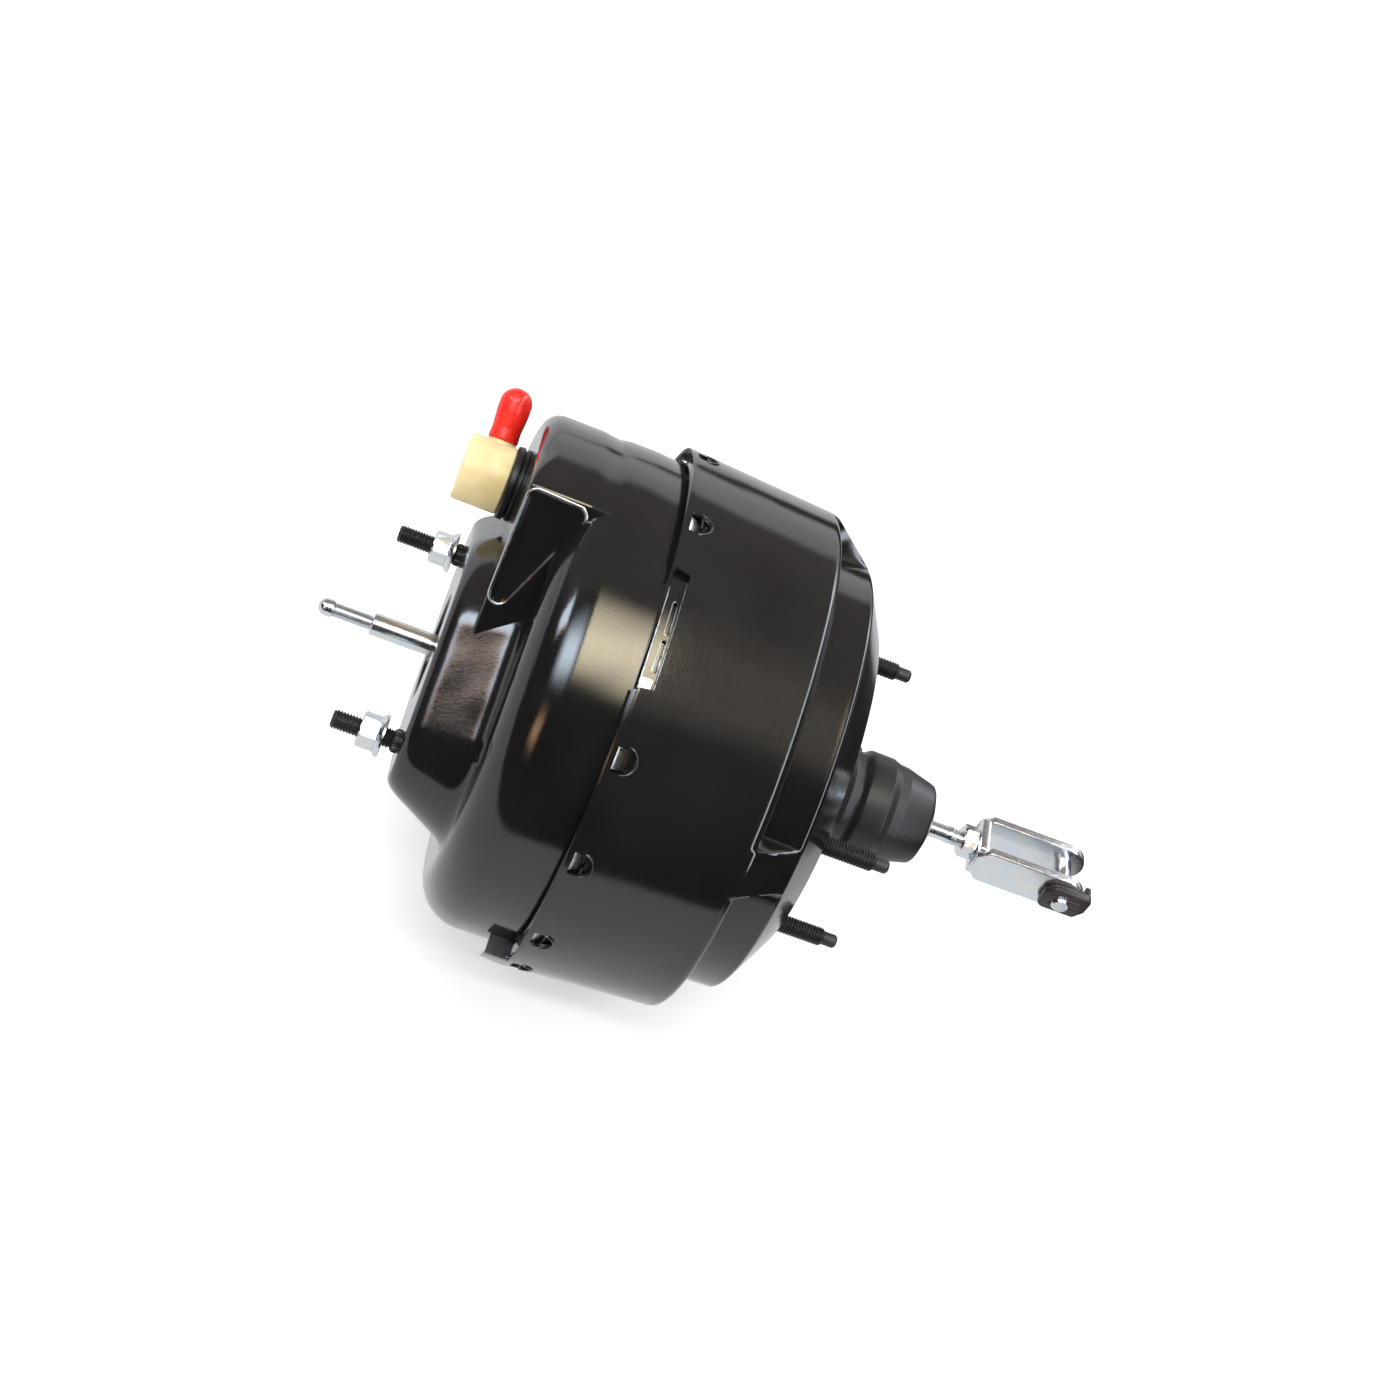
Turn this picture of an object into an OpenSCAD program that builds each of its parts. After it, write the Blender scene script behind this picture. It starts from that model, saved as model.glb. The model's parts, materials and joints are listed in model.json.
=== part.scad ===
// Tandem vacuum brake booster. X runs along the booster axis, towards the pedal, and Z is up on the car.
// The origin is the centre of the rear mounting face. Sizes are in millimetres and angles in degrees.
// Outlines that are turned about the axis are lists of [radius, x, bend radius].

/* [Shells] */
// Thickness of the shell sheet
shell_wall = 2.2; // [1.6:0.1:2.8]
// Thickness of the rear shell's sheet where its mouth was widened
mouth_wall = 1.5; // [1.2:0.1:1.8]
// Rear mounting face to the front edge of the rear shell
rear_shell_len = 98; // [96:0.5:102]
// Radius of the flat rear face
rear_face_r = 74; // [71:0.5:78]
// How much narrower the belt between the pads is than the rear end of the drum
belt_step = 15.3; // [13:0.1:17]
// Depth of the cone from the rear face to the belt
belt_x = 12.1; // [11:0.1:14]
// Depth of the rear end of the drum
shoulder_x = 31.4; // [29:0.1:33]
// Radius of the drum at its rear end
drum_r = 110; // [108:0.5:111.5]
// How much further out the rear shell's mouth stands than the rear end of its drum
mouth_flare = 4; // [2:0.1:6]
// Depth of the ledge inside the rear shell that the clamped rims rest on
ledge_x = 79; // [78:0.5:80]
// Outer radius of the neck that the boot grips
neck_r = 20.4; // [20:0.1:21.5]
// Length of that neck
neck_len = 8; // [6:0.5:10]
// Width of the front shell's clamped flange, from the front drum to the rim
front_flange_w = 5; // [4:0.1:6]
// How much the front drum widens beside its flange
front_step = 2.4; // [1.5:0.1:2.6]
// Length of that wider band
front_band_len = 5.6; // [5:0.1:7]
// Rear face to the front shell's lower face
front_face_x = 139.6; // [137:0.1:142]
// Bend between the front drum and the lower face
front_bend = 20; // [14:0.5:22]
// Rear face to the master cylinder's seat
front_seat_x = 168.4; // [166:0.1:172]
// Radius of the round middle of the seat boss
boss_r = 48; // [45:0.5:52]
// Radius of the boss ends around the studs
boss_end_r = 22; // [20:0.5:24]
// Slope of the boss flank, as growth in radius for each mm of depth
boss_slope = 0.52; // [0.3:0.02:0.6]
// Rear face to the raised platform that carries the check valve
platform_x = 157.8; // [155:0.1:160]
// Half width of the platform where it meets the boss
platform_half = 48.5; // [46:0.5:52]
// Angle that each side of the platform opens outwards
platform_flare = 23.7; // [20:0.1:26]
// Bend at the platform's outer rim
platform_bend = 8; // [6:0.5:10]
// Radius of the pilot recess in the seat
pilot_r = 22; // [20:0.5:23]
// Depth of the pilot recess
pilot_depth = 16.4; // [12:0.2:18]

/* [Lances and pads] */
// Length of a lance window along the axis
lance_len = 8.5; // [7:0.5:9]
// Width of a lance window round the drum
lance_w = 10.5; // [8:0.5:12]
// Solid strip between a lance window and the mouth
lance_lip = 2.5; // [2:0.1:3]
// Angle that each stiffening pad covers
pad_span = 11.5; // [9:0.5:14]
// Depth that the viewing notch is cut back from the mouth
notch_depth = 7.6; // [6:0.1:8]
// Length of the locating ear in front of the mouth
ear_len = 10; // [6:0.5:12]
// Diameter of the stamped dimple on the lower face
dimple_d = 14; // [10:0.5:16]

/* [Studs] */
// Distance between the two master cylinder studs
front_stud_span = 112; // [108:1:116]
// Distance across between the rear studs
rear_stud_y = 110; // [104:1:114]
// Height between the rear studs
rear_stud_z = 54; // [50:1:60]
// Thread diameter of all studs
stud_d = 8; // [7:0.5:8]
// Reach of the front studs in front of the seat
front_stud_reach = 28.5; // [26:0.5:32]
// Reach of the rear studs behind the rear face
rear_stud_reach = 30.4; // [26:0.1:34]
// Width of a nut across its flats
nut_flats = 13; // [12:0.5:13]
// Diameter of a front nut's flange
nut_flange_d = 18; // [16:0.5:18]
// Height of a front nut with its flange
nut_h = 10; // [8:0.5:11]
// Thickness of a front nut's flange
nut_flange_t = 1.6; // [1.2:0.1:2]
// How much further one front nut is run on than the other
nut_run = 3.6; // [0:0.1:5]

/* [Power pistons] */
// Stroke of the pistons
stroke = 30; // [26:0.5:30]
// Thickness of the plates
plate_wall = 2; // [1.6:0.1:2.4]
// Thickness of the diaphragm rubber
rubber = 1.5; // [1.2:0.1:1.8]
// Thickness of a diaphragm's rim bead
bead = 3.6; // [3.2:0.1:3.8]
// Room for the rolling fold between the plates and the cup round them
plate_gap = 17; // [15:0.5:20]
// Radius of the plates' flat seat round the valve body
plate_flat_r = 41; // [38:0.5:44]
// Depth of the rear plate's seat on the valve body
rear_plate_x = 16; // [15:0.5:17]
// Depth of the front plate's seat on the valve body
front_plate_x = 76; // [75:0.5:78]
// Thickness of the fixed plate between the chambers
divider_wall = 1.5; // [1.2:0.1:1.8]
// Depth of that plate's floor
divider_x = 60; // [59:0.5:61]
// Width of that plate's clamped rim
divider_rim_w = 8.3; // [7:0.1:10]
// Radius of the return spring on the front shell
spring_front_r = 34; // [30:0.5:36]
// Radius of the return spring on the front plate
spring_rear_r = 28; // [26:0.5:30]
// Wire thickness of the return spring
spring_wire = 4; // [3:0.1:4.4]

/* [Valve] */
// Radius of the valve body between the chambers
sleeve_r = 20; // [19.5:0.1:21]
// Radius of the valve body's tail
tail_r = 17; // [16.6:0.1:17.5]
// What stays of the tail behind the rear face at full stroke
tail_over = 16; // [14:0.5:18]
// Depth of the valve body's front end
hub_x = 84; // [83:0.5:86]
// Radius of the reaction disc
disc_r = 15; // [14:0.1:15.5]
// Thickness of the reaction disc
disc_t = 8; // [7:0.5:9]
// Radius of the valve plunger
plunger_r = 8; // [7.5:0.1:8.5]
// Radius of the plunger's nose
nose_r = 5; // [4.5:0.1:5.5]
// Travel of the plunger in the valve body
valve_travel = 1.5; // [1:0.1:1.5]
// Running clearance of sliding pieces, on the radius
running = 0.05; // [0.03:0.01:0.08]
// Radius of the poppet's bore
poppet_bore_r = 13.5; // [13.2:0.1:13.8]
// Height of the rear seal and the centre seal along the valve body
seal_h = 6.8; // [5:0.1:8]
// Length of the air filter
filter_len = 6; // [5:0.5:8]
// Length of the air silencer behind the filter
silencer_len = 6; // [4:0.5:8]

/* [Rods] */
// Diameter of the output rod
output_rod_d = 9.5; // [9:0.1:10.5]
// Depth of the output rod's front end, where its screw comes out
output_rod_x = 194.8; // [190:0.1:198]
// Length of the screw that shows, without its tip
screw_len = 16.2; // [12:0.1:18]
// Diameter of the adjusting screw
screw_d = 6.6; // [6:0.1:7]
// Diameter of the screw's round tip
tip_d = 7.4; // [7:0.1:8]
// Diameter of the input rod
input_rod_d = 7.2; // [6.8:0.1:7.6]
// Radius of the ball in the plunger
ball_r = 5; // [4.8:0.1:5.2]
// Depth of the ball's centre
ball_x = 12; // [11.5:0.1:12.5]
// Reach of the jam nut's front side behind the rear face
jam_nut_x = 71; // [68:0.5:74]
// Thickness of the jam nut
jam_nut_t = 6.5; // [5:0.5:7]
// Thread that shows in front of the jam nut
rod_thread_len = 6; // [4:0.5:10]

/* [Clevis] */
// Reach of the clevis pin behind the rear face
pin_x = 119; // [114:0.5:124]
// Width over both ears
clevis_w = 22; // [21:0.5:24]
// Thickness of the clevis sheet
clevis_t = 4; // [3.5:0.1:4.2]
// Height of the ears
clevis_h = 19; // [18:0.5:21]
// Chamfer at the heels of the ears
heel = 4; // [3:0.5:5]
// Diameter of the clevis pin
pin_d = 8; // [7.5:0.1:8.5]
// Thickness of the pin's clip
clip_t = 4; // [3:0.5:4.5]
// Length of the clip along the ear
clip_len = 21; // [18:0.5:23]
// Height of the clip
clip_h = 14; // [12:0.5:16]

/* [Boot] */
// Radius of the boot over its folds
boot_r = 22.4; // [22.2:0.1:23]
// Radius of the boot between its folds
boot_neck_r = 20.6; // [20.4:0.1:21]
// Length of the boot
boot_len = 54; // [53:0.5:56]
// Thickness of the boot's rubber
boot_wall = 1.4; // [1.2:0.1:1.6]
// Radius of the boot's closed end, where its last bend begins
boot_end_r = 17; // [15:0.5:19]
// Bend where the boot begins to taper
taper_bend = 14; // [8:0.5:16]

/* [Check valve] */
// Distance of the check valve from the booster axis
valve_off = 74.1; // [73:0.1:75]
// Diameter of the check valve's drum
valve_d = 28.9; // [27:0.1:30]
// Length of the check valve's drum
valve_len = 19.6; // [18:0.1:21]
// Diameter of the grommet's collar
grommet_d = 31.4; // [30.5:0.1:32]
// Thickness of the grommet's collar
grommet_t = 5.5; // [5:0.1:6]
// Radius of the hole for the grommet
grommet_hole_r = 10; // [9.5:0.1:10.5]
// Diameter of the cap on the hose nipple
cap_d = 13.6; // [13:0.1:14.4]
// Length of the cap
cap_len = 23; // [20:0.5:25]
// Outer diameter of the hose nipple
nipple_d = 9.6; // [9:0.1:10]

/* [Hidden] */
$fn = 72;

black_enamel = "#151515";
bare_steel = "#9a9ca0";
zinc = "#c9ccd0";
black_rubber = "#1c1c1e";
phenolic = "#3a3532";
nylon = "#e3d3a0";
cap_red = "#d6241e";
filter_felt = "#8a8578";
silencer_felt = "#55524c";

// Clock angles run from +Y (0) over +Z (90).
valve_angle = 45;
lance_angles = [60, 90, 142, 165, 189.5, 209, 234, 260, 286, 312, 338, 4, 32];
pad_angles = [53, 156, 259, 336];
notch_angles = [103, 127.7];
ear_angles = [206, 214];
dimple_angle = 156;
dimple_off = 84;
dimple_depth = 0.7;

cut = 1;
bend_steps = 4;
ear_seat = 0.15;
belt_r = drum_r - belt_step;
// The platform's rim stands this much inside the drum, so that it leaves the drum's bend cleanly
rim_step = 0.15;
platform_foot_x = -front_face_x + front_bend + 3;
shell_bend = 4;
face_bend = shell_bend + 2;
thread_gap = 0.05;

// The rims clamped between the ledge and the lances, from the rear to the front
rear_bead_x = ledge_x + bead;
divider_rim_x = rear_bead_x + divider_wall;
front_bead_x = divider_rim_x + bead;
front_flange_x = front_bead_x + shell_wall;
mouth_r = drum_r + mouth_flare;
mouth_draft = mouth_flare / (rear_shell_len - shoulder_x);
ledge_drum_r = drum_r + (ledge_x - shoulder_x) * mouth_draft;
rim_gap = 0.1;
rim_r = ledge_drum_r - mouth_wall - rim_gap;
front_drum_r = rim_r - front_flange_w;
front_band_r = front_drum_r + front_step;
front_band_x = front_flange_x + front_band_len;
divider_cup_r = rim_r - divider_rim_w;
plate_r = divider_cup_r - plate_gap;
divider_bend = divider_wall + 1;
neck_bend = shell_wall + 0.4;

// Seats behind and in front of the shells
reinforcement_t = 2.5;
rear_inner_x = shell_wall;
rear_reinforcement_x = rear_inner_x + reinforcement_t;
front_inner_x = front_seat_x - shell_wall;
front_reinforcement_x = front_inner_x - reinforcement_t;
pilot_floor_x = front_seat_x - pilot_depth - shell_wall;
front_seal_t = 6;
front_seal_x = pilot_floor_x - front_seal_t;
stud_r = stud_d / 2;
stud_head_r = stud_d;
stud_head_t = 3;
// The front studs stand on collars that the master cylinder's holes fit over
collar_r = stud_r + 0.6;
collar_t = 3;
// The knurl that is pressed through the shell and its reinforcement
front_knurl_r = collar_r + 0.1;
rear_knurl_r = stud_r + 0.4;
// The last stretch of a rear stud, turned down to lead into its nut
point_len = 6;
point_r = stud_r - 1;

// Valve body and the pieces inside it
tail_x = stroke + tail_over;
seal_r = sleeve_r + 4;
hub_r = sleeve_r - 2;
seal_hub_x = divider_x + seal_h + 1.2;
shoulder_r = 26;
shoulder_t = 8;
shoulder_slope = 2;
ring_t = 3;
valve_seat_x = 4;
nose_gap = valve_travel + 0.1;
// How far the output rod's head is let into the hub
rod_seat = 4;
disc_x = hub_x - rod_seat - disc_t;
plunger_step_x = 58;
retainer_x = 13;
silencer_x = tail_x - silencer_len;
filter_x = silencer_x - filter_len;
rod_r = input_rod_d / 2;
thread_r = stud_r - 0.1;
rod_flare = 3;
rod_hole_r = output_rod_d / 2 + rod_flare;

clevis_x = jam_nut_x + jam_nut_t;
clevis_in = clevis_w / 2 - clevis_t;

valve_x = platform_x + grommet_t;
valve_front_x = valve_x + valve_len;
nipple_x = valve_front_x - 12.4;
nipple_r = nipple_d / 2;
cap_foot = valve_d / 2 + 0.4;

function unit(v) = v / norm(v);

// The arc that rounds corner b between a and c with radius f
function corner(a, b, c, f) = f == undef || f <= 0 ? [b] :
    let (u = unit(a - b), w = unit(c - b), half = acos(u * w) / 2,
        mid = b + unit(u + w) * f / sin(half),
        from = b + u * f / tan(half) - mid, to = b + w * f / tan(half) - mid,
        start = atan2(from.y, from.x), turn = atan2(to.y, to.x) - start,
        sweep = turn > 180 ? turn - 360 : turn < -180 ? turn + 360 : turn)
    [for (i = [0:bend_steps])
        mid + f * [cos(start + sweep * i / bend_steps), sin(start + sweep * i / bend_steps)]];

function flat(p) = [p[0], p[1]];

// A line of points with its inner corners rounded
function bent(p) = [for (i = [0:len(p) - 1])
    each i == 0 || i == len(p) - 1 ? [flat(p[i])]
        : corner(flat(p[i - 1]), flat(p[i]), flat(p[i + 1]), p[i][2])];

// Point i of a line, moved sideways by w
function beside(p, i, w) =
    let (a = unit(p[max(i, 1)] - p[max(i, 1) - 1]),
        b = unit(p[min(i + 1, len(p) - 1)] - p[min(i + 1, len(p) - 1) - 1]), t = unit(a + b))
    p[i] + [-t.y, t.x] * w / (a * t);

function inset(p, w) = [for (i = [0:len(p) - 1]) beside(p, i, w)];

function reversed(p) = [for (i = [len(p) - 1:-1:0]) p[i]];

// A sheet along a bent line, from w_in to w_out on its left side
function layer(p, w_in, w_out) = let (line = bent(p)) concat(inset(line, w_in), reversed(inset(line, w_out)));

function sheet(p, w) = layer(p, 0, w);

// Rings of points swept into a closed tube: each ring is a list of points
function tube_faces(rings, sides) = concat(
    [[for (s = [0:sides - 1]) s]],
    [for (r = [0:rings - 2], s = [0:sides - 1])
        [r * sides + s, (r + 1) * sides + s, (r + 1) * sides + (s + 1) % sides, r * sides + (s + 1) % sides]],
    [[for (s = [sides - 1:-1:0]) (rings - 1) * sides + s]]);

module turned(outline) rotate([0, 90, 0]) rotate_extrude() polygon(outline);

module turned_part(outline, from, to)
    rotate([from, 0, 0]) rotate([0, 90, 0]) rotate([0, 0, 90])
        rotate_extrude(angle = to - from) polygon(outline);

module along_x(from, to) translate([from, 0, 0]) rotate([90, 0, 90]) linear_extrude(to - from) children();

module rod(r, from, to) translate([from, 0, 0]) rotate([0, 90, 0]) cylinder(r = r, h = to - from);

module ring(outer, inner, from, to)
    turned([[inner, from], [outer, from], [outer, to], [inner, to]]);

module clock(angle) rotate([angle, 0, 0]) children();

module hex_nut(flats, from, to, hole_r) difference() {
    translate([from, 0, 0]) rotate([0, 90, 0]) cylinder(r = flats / 2 / cos(30), h = to - from, $fn = 6);
    rod(hole_r, from - cut, to + cut);
}

// A coil along +X between from and to, whose closed ends lie flat on its seats
module coil(from, to, r_from, r_to, wire, turns, sides = 8, steps = 20) {
    ends = 0.75;
    count = round((turns + 2 * ends) * steps);
    span = to - from - 2 * wire;
    rings = [for (i = [0:count])
        let (t = i / steps, free = min(max((t - ends) / turns, 0), 1), r = r_from + (r_to - r_from) * free,
            x = from + wire + span * free)
        [for (s = [0:sides - 1]) let (a = 360 * s / sides, q = r + wire * cos(a))
            [x + wire * sin(a), q * cos(360 * t), q * sin(360 * t)]]];
    polyhedron(points = [for (ring_points = rings) each ring_points], faces = tube_faces(count + 1, sides));
}

// Outer line of the rear shell from its mouth to the neck
function rear_line() = [[mouth_r, -rear_shell_len], [drum_r, -shoulder_x, shell_bend],
    [belt_r, -shoulder_x, shell_bend - 1], [belt_r, -belt_x, shell_bend], [rear_face_r, 0, shell_bend],
    [neck_r, 0, neck_bend], [neck_r, neck_len]];

// The pads are a little thicker than the sheet where they meet the drum
pad_top_share = 1.1;

// A pad bridges the corner between the drum and the belt. The form that hollows it is moved inwards by w.
function pad_outline(w) =
    let (slope = unit([belt_r - drum_r, shoulder_x - belt_x]), side = [-slope.y, slope.x],
        low = [belt_r, -belt_x] + side * w, top_r = drum_r - w * pad_top_share,
        top_x = low.y - (top_r - low.x) * slope.y / -slope.x,
        foot_r = belt_r - shell_wall - (w > 0 ? cut : 0), front_x = -shoulder_x - shell_wall)
    [[foot_r, front_x], [top_r, front_x], [top_r, top_x], low, [foot_r, low.y]];

module pads(w) {
    trim = w / belt_r * 180 / PI;
    for (a = pad_angles)
        turned_part(pad_outline(w), a - pad_span / 2 + trim, a + pad_span / 2 - trim);
}

lance_front_x = -rear_shell_len + lance_lip;
lance_back_x = lance_front_x + lance_len;

// The window is cut through the drum's wall, which is conical here
lance_r = mouth_r - (rear_shell_len + lance_back_x) * mouth_draft;
lance_cut = 4 * mouth_wall;

module lance_window() translate([0, lance_r - lance_cut, 0]) rotate([-90, 0, 0])
    linear_extrude(mouth_r - lance_r + 2 * lance_cut) {
    translate([lance_front_x, -lance_w / 2]) square([lance_len - lance_w / 3, lance_w]);
    intersection() {
        translate([lance_back_x - lance_w / 2, 0]) circle(lance_w / 2, $fn = 40);
        translate([lance_back_x - lance_w / 2, -lance_w / 2]) square(lance_w);
    }
}

// The tongue is bent in behind the window's front edge, until it holds the front shell's flange
tongue_end = 0.4;

tongue_side_gap = 0.8;

module lance_tongue() {
    skin = mouth_r - mouth_wall;
    half = lance_w / 2 - tongue_side_gap;
    tip_r = rim_r - tongue_end;
    translate([0, 0, -half]) linear_extrude(2 * half)
        polygon([[lance_front_x - cut, skin], [lance_front_x - cut, skin + mouth_wall / 2],
            [lance_front_x, mouth_r - tongue_end], [-front_flange_x, tip_r],
            [-front_flange_x, tip_r - mouth_wall]]);
}

// What is cut away from the rear shell's mouth for the viewing notch
module notch() {
    from_r = mouth_r - 4 * mouth_wall;
    to_r = mouth_r + cut;
    turned_part([[from_r, -rear_shell_len - cut], [to_r, -rear_shell_len - cut],
        [to_r, -rear_shell_len + notch_depth], [from_r, -rear_shell_len + notch_depth]],
        notch_angles[0], notch_angles[1]);
}

module ear() {
    inner_r = mouth_r - mouth_wall + ear_seat;
    outer_r = mouth_r - ear_seat;
    tip_x = -rear_shell_len - ear_len;
    foot_x = -rear_shell_len + cut;
    turned_part([[inner_r, tip_x], [outer_r, tip_x], [outer_r, foot_x], [inner_r, foot_x]],
        ear_angles[0], ear_angles[1]);
}

module rear_shell() color(black_enamel) {
    line = bent(rear_line());
    inner = inset(line, shell_wall);
    mouth_inner = mouth_r - mouth_wall;
    difference() {
        union() {
            turned(concat(line, reversed(inner)));
            pads(0);
        }
        turned([[0, -rear_shell_len - cut], [mouth_inner, -rear_shell_len - cut],
            [mouth_inner, -rear_shell_len], [ledge_drum_r - mouth_wall, -ledge_x], [0, -ledge_x]]);
        pads(shell_wall);
        for (a = lance_angles)
            clock(a) lance_window();
        notch();
        rear_stud_places() rod(rear_knurl_r, -rear_inner_x - cut, cut);
    }
    for (a = lance_angles)
        clock(a) lance_tongue();
    ear();
}

// The boss ends lie a little inside the studs
boss_end_in = 6;
boss_end_y = front_stud_span / 2 - boss_end_in;
// Length of the slope between the front drum and its wider band
band_slope = 1.6;

// The closed form of the front shell, moved inwards by w
module front_form(w, open_x) {
    band_x = -front_band_x + w * tan(atan2(front_step, band_slope) / 2);
    turned(concat([[0, open_x]], bent([[front_band_r - w, open_x], [front_band_r - w, band_x, 1],
        [front_drum_r - w, band_x - band_slope, 1], [front_drum_r - w, -front_face_x + w, front_bend - w],
        [0, -front_face_x + w]])));
    depth = front_seat_x - front_face_x;
    foot_x = -front_face_x + w + cut;
    hull() for (y = [-boss_end_y, 0, boss_end_y]) {
        r = (y == 0 ? boss_r : boss_end_r) - w;
        translate([0, y, 0]) rotate([0, 90, 0]) rotate_extrude($fn = 32)
            polygon(concat([[0, foot_x]], bent([[r + depth * boss_slope, foot_x],
                [r, -front_seat_x + w, face_bend], [0, -front_seat_x + w]])));
    }
    intersection() {
        rim = front_drum_r - rim_step - w;
        turned(concat([[0, platform_foot_x]], bent([[rim, platform_foot_x],
            [rim, -platform_x + w, platform_bend - w], [0, -platform_x + w]])));
        half = platform_half - w / cos(platform_flare);
        outer_half = half + front_drum_r * tan(platform_flare);
        clock(valve_angle) along_x(-platform_x, platform_foot_x)
            polygon([[0, half], [0, -half], [front_drum_r, -outer_half], [front_drum_r, outer_half]]);
    }
}

module front_shell() color(black_enamel) difference() {
    union() {
        difference() {
            union() {
                front_form(0, -front_bead_x);
                rod(rim_r, -front_flange_x, -front_bead_x);
            }
            front_form(shell_wall, -front_bead_x + cut);
        }
        ring(pilot_r + shell_wall, 0, -front_inner_x - cut, -pilot_floor_x);
    }
    rod(pilot_r, -front_seat_x - cut, -pilot_floor_x - shell_wall);
    rod(rod_hole_r, -front_seat_x, -pilot_floor_x + cut);
    front_stud_places() rod(front_knurl_r, -front_seat_x - cut, -front_inner_x + cut);
    at_valve() rod(grommet_hole_r, -platform_x - cut, -platform_x + shell_wall + cut);
    clock(dimple_angle) translate([0, dimple_off, 0])
        rod(dimple_d / 2, -front_face_x - cut, -front_face_x + dimple_depth);
}

module rear_stud_places() for (y = [-1, 1], z = [-1, 1])
    translate([0, y * rear_stud_y / 2, z * rear_stud_z / 2]) children();

module front_stud_places() for (y = [-1, 1])
    translate([0, y * front_stud_span / 2, 0]) children();

module rear_studs() color(black_rubber) rear_stud_places() {
    rod(stud_r, 0, rear_stud_reach - point_len);
    rod(point_r, rear_stud_reach - point_len, rear_stud_reach);
    rod(rear_knurl_r, -rear_reinforcement_x, 0);
    rod(stud_head_r, -rear_reinforcement_x - stud_head_t, -rear_reinforcement_x);
}

module front_studs() color(black_rubber) front_stud_places() {
    rod(stud_r, -front_seat_x - front_stud_reach, -front_seat_x - collar_t);
    rod(collar_r, -front_seat_x - collar_t, -front_seat_x);
    rod(front_knurl_r, -front_seat_x, -front_reinforcement_x);
    rod(stud_head_r, -front_reinforcement_x, -front_reinforcement_x + stud_head_t);
}

// The nuts stop short of the collars, one further than the other
collar_gap = 0.4;
nut_backs = [collar_t + collar_gap, collar_t + collar_gap + nut_run];

module front_nuts() color(zinc) for (i = [0, 1]) {
    back = -front_seat_x - nut_backs[i];
    translate([0, (1 - 2 * i) * front_stud_span / 2, 0]) {
        hex_nut(nut_flats, back - nut_h, back - nut_flange_t, stud_r + thread_gap);
        ring(nut_flange_d / 2, stud_r + thread_gap, back - nut_flange_t, back);
    }
}

// What a reinforcement plate reaches past its studs, across and in height
plate_edge_y = 12;
plate_edge_z = 17;
// Radius of the front reinforcement's ends round the stud heads
lug_r = stud_head_r + 2;

module rear_reinforcement() color(bare_steel) difference() {
    along_x(-rear_reinforcement_x, -rear_inner_x) intersection() {
        square([rear_stud_y + 2 * plate_edge_y, rear_stud_z + 2 * plate_edge_z], center = true);
        circle(rear_face_r - shell_bend);
    }
    rod(seal_r, -rear_reinforcement_x - cut, 0);
    rear_stud_places() rod(rear_knurl_r, -rear_reinforcement_x - cut, 0);
}

module front_reinforcement() color(bare_steel) difference() {
    union() {
        along_x(-front_inner_x, -front_reinforcement_x) {
            circle(boss_r - 2 * shell_bend);
            square([front_stud_span, 2 * lug_r], center = true);
        }
        front_stud_places() rod(lug_r, -front_inner_x, -front_reinforcement_x);
    }
    rod(pilot_r + shell_wall, -front_seat_x, 0);
    front_stud_places() rod(front_knurl_r, -front_seat_x, 0);
}

module front_seal() color(black_rubber)
    ring(pilot_r + shell_wall, output_rod_d / 2 + running, -pilot_floor_x, -front_seal_x);

retainer_wall = 1.5;

module seal_retainer() color(bare_steel)
    turned(sheet([[rod_hole_r - 1, -front_seal_x], [pilot_r + shell_wall + retainer_wall, -front_seal_x],
        [pilot_r + shell_wall + retainer_wall, -pilot_floor_x - front_seal_t]], retainer_wall));

divider_floor_bend = 8;

module centre_plate() color(bare_steel)
    turned(sheet([[rim_r, -rear_bead_x], [divider_cup_r, -rear_bead_x, divider_bend],
        [divider_cup_r, -divider_x, divider_floor_bend], [seal_r, -divider_x, divider_bend],
        [seal_r, -seal_hub_x]], divider_wall));

module centre_seal() color(black_rubber)
    ring(seal_r, sleeve_r + running, -seal_hub_x, -divider_x + divider_wall);

plate_dish = 3;
plate_dish_w = 8;
plate_lip = 6;
dish_bend = 4;
lip_bend = 5;

// Front face of a plate: a flat seat round the valve body, then a dished web out to the rim
function plate_line(seat, hole_r) = [[hole_r, -seat], [plate_flat_r, -seat, dish_bend],
    [plate_flat_r + plate_dish_w, -seat + plate_dish, dish_bend]];

module plate(seat, hole_r) turned(sheet(concat(plate_line(seat, hole_r),
    [[plate_r, -seat + plate_dish, lip_bend], [plate_r, -seat - plate_lip]]), plate_wall));

module rear_plate() color(bare_steel) plate(rear_plate_x, tail_r);

module front_plate() color(bare_steel) plate(front_plate_x + plate_wall, hub_r);

module front_plate_ring() color(bare_steel)
    ring(sleeve_r + 1, hub_r, -front_plate_x - plate_wall - ring_t, -front_plate_x - plate_wall);

module rear_plate_ring() color(bare_steel) {
    seat = -rear_plate_x + plate_wall + rubber;
    ring(tail_r + ring_t, tail_r, seat, seat + ring_t / 2);
}

// A diaphragm lies on the back of its plate, then follows the line given to the bead at its rim
module diaphragm(seat, hole_r, to_rim, bead_x) {
    skin = plate_wall + rubber;
    rim_line = to_rim[len(to_rim) - 1];
    turned(layer(concat(plate_line(seat, hole_r), to_rim), plate_wall, skin));
    ring(rim_r, rim_line[0] + plate_wall, bead_x, bead_x + bead);
}

// The rear diaphragm turns back over the fixed plate's cup this far in front of the drum's shoulder
fold_depth = 12;
fold_gap = 0.2;

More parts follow.
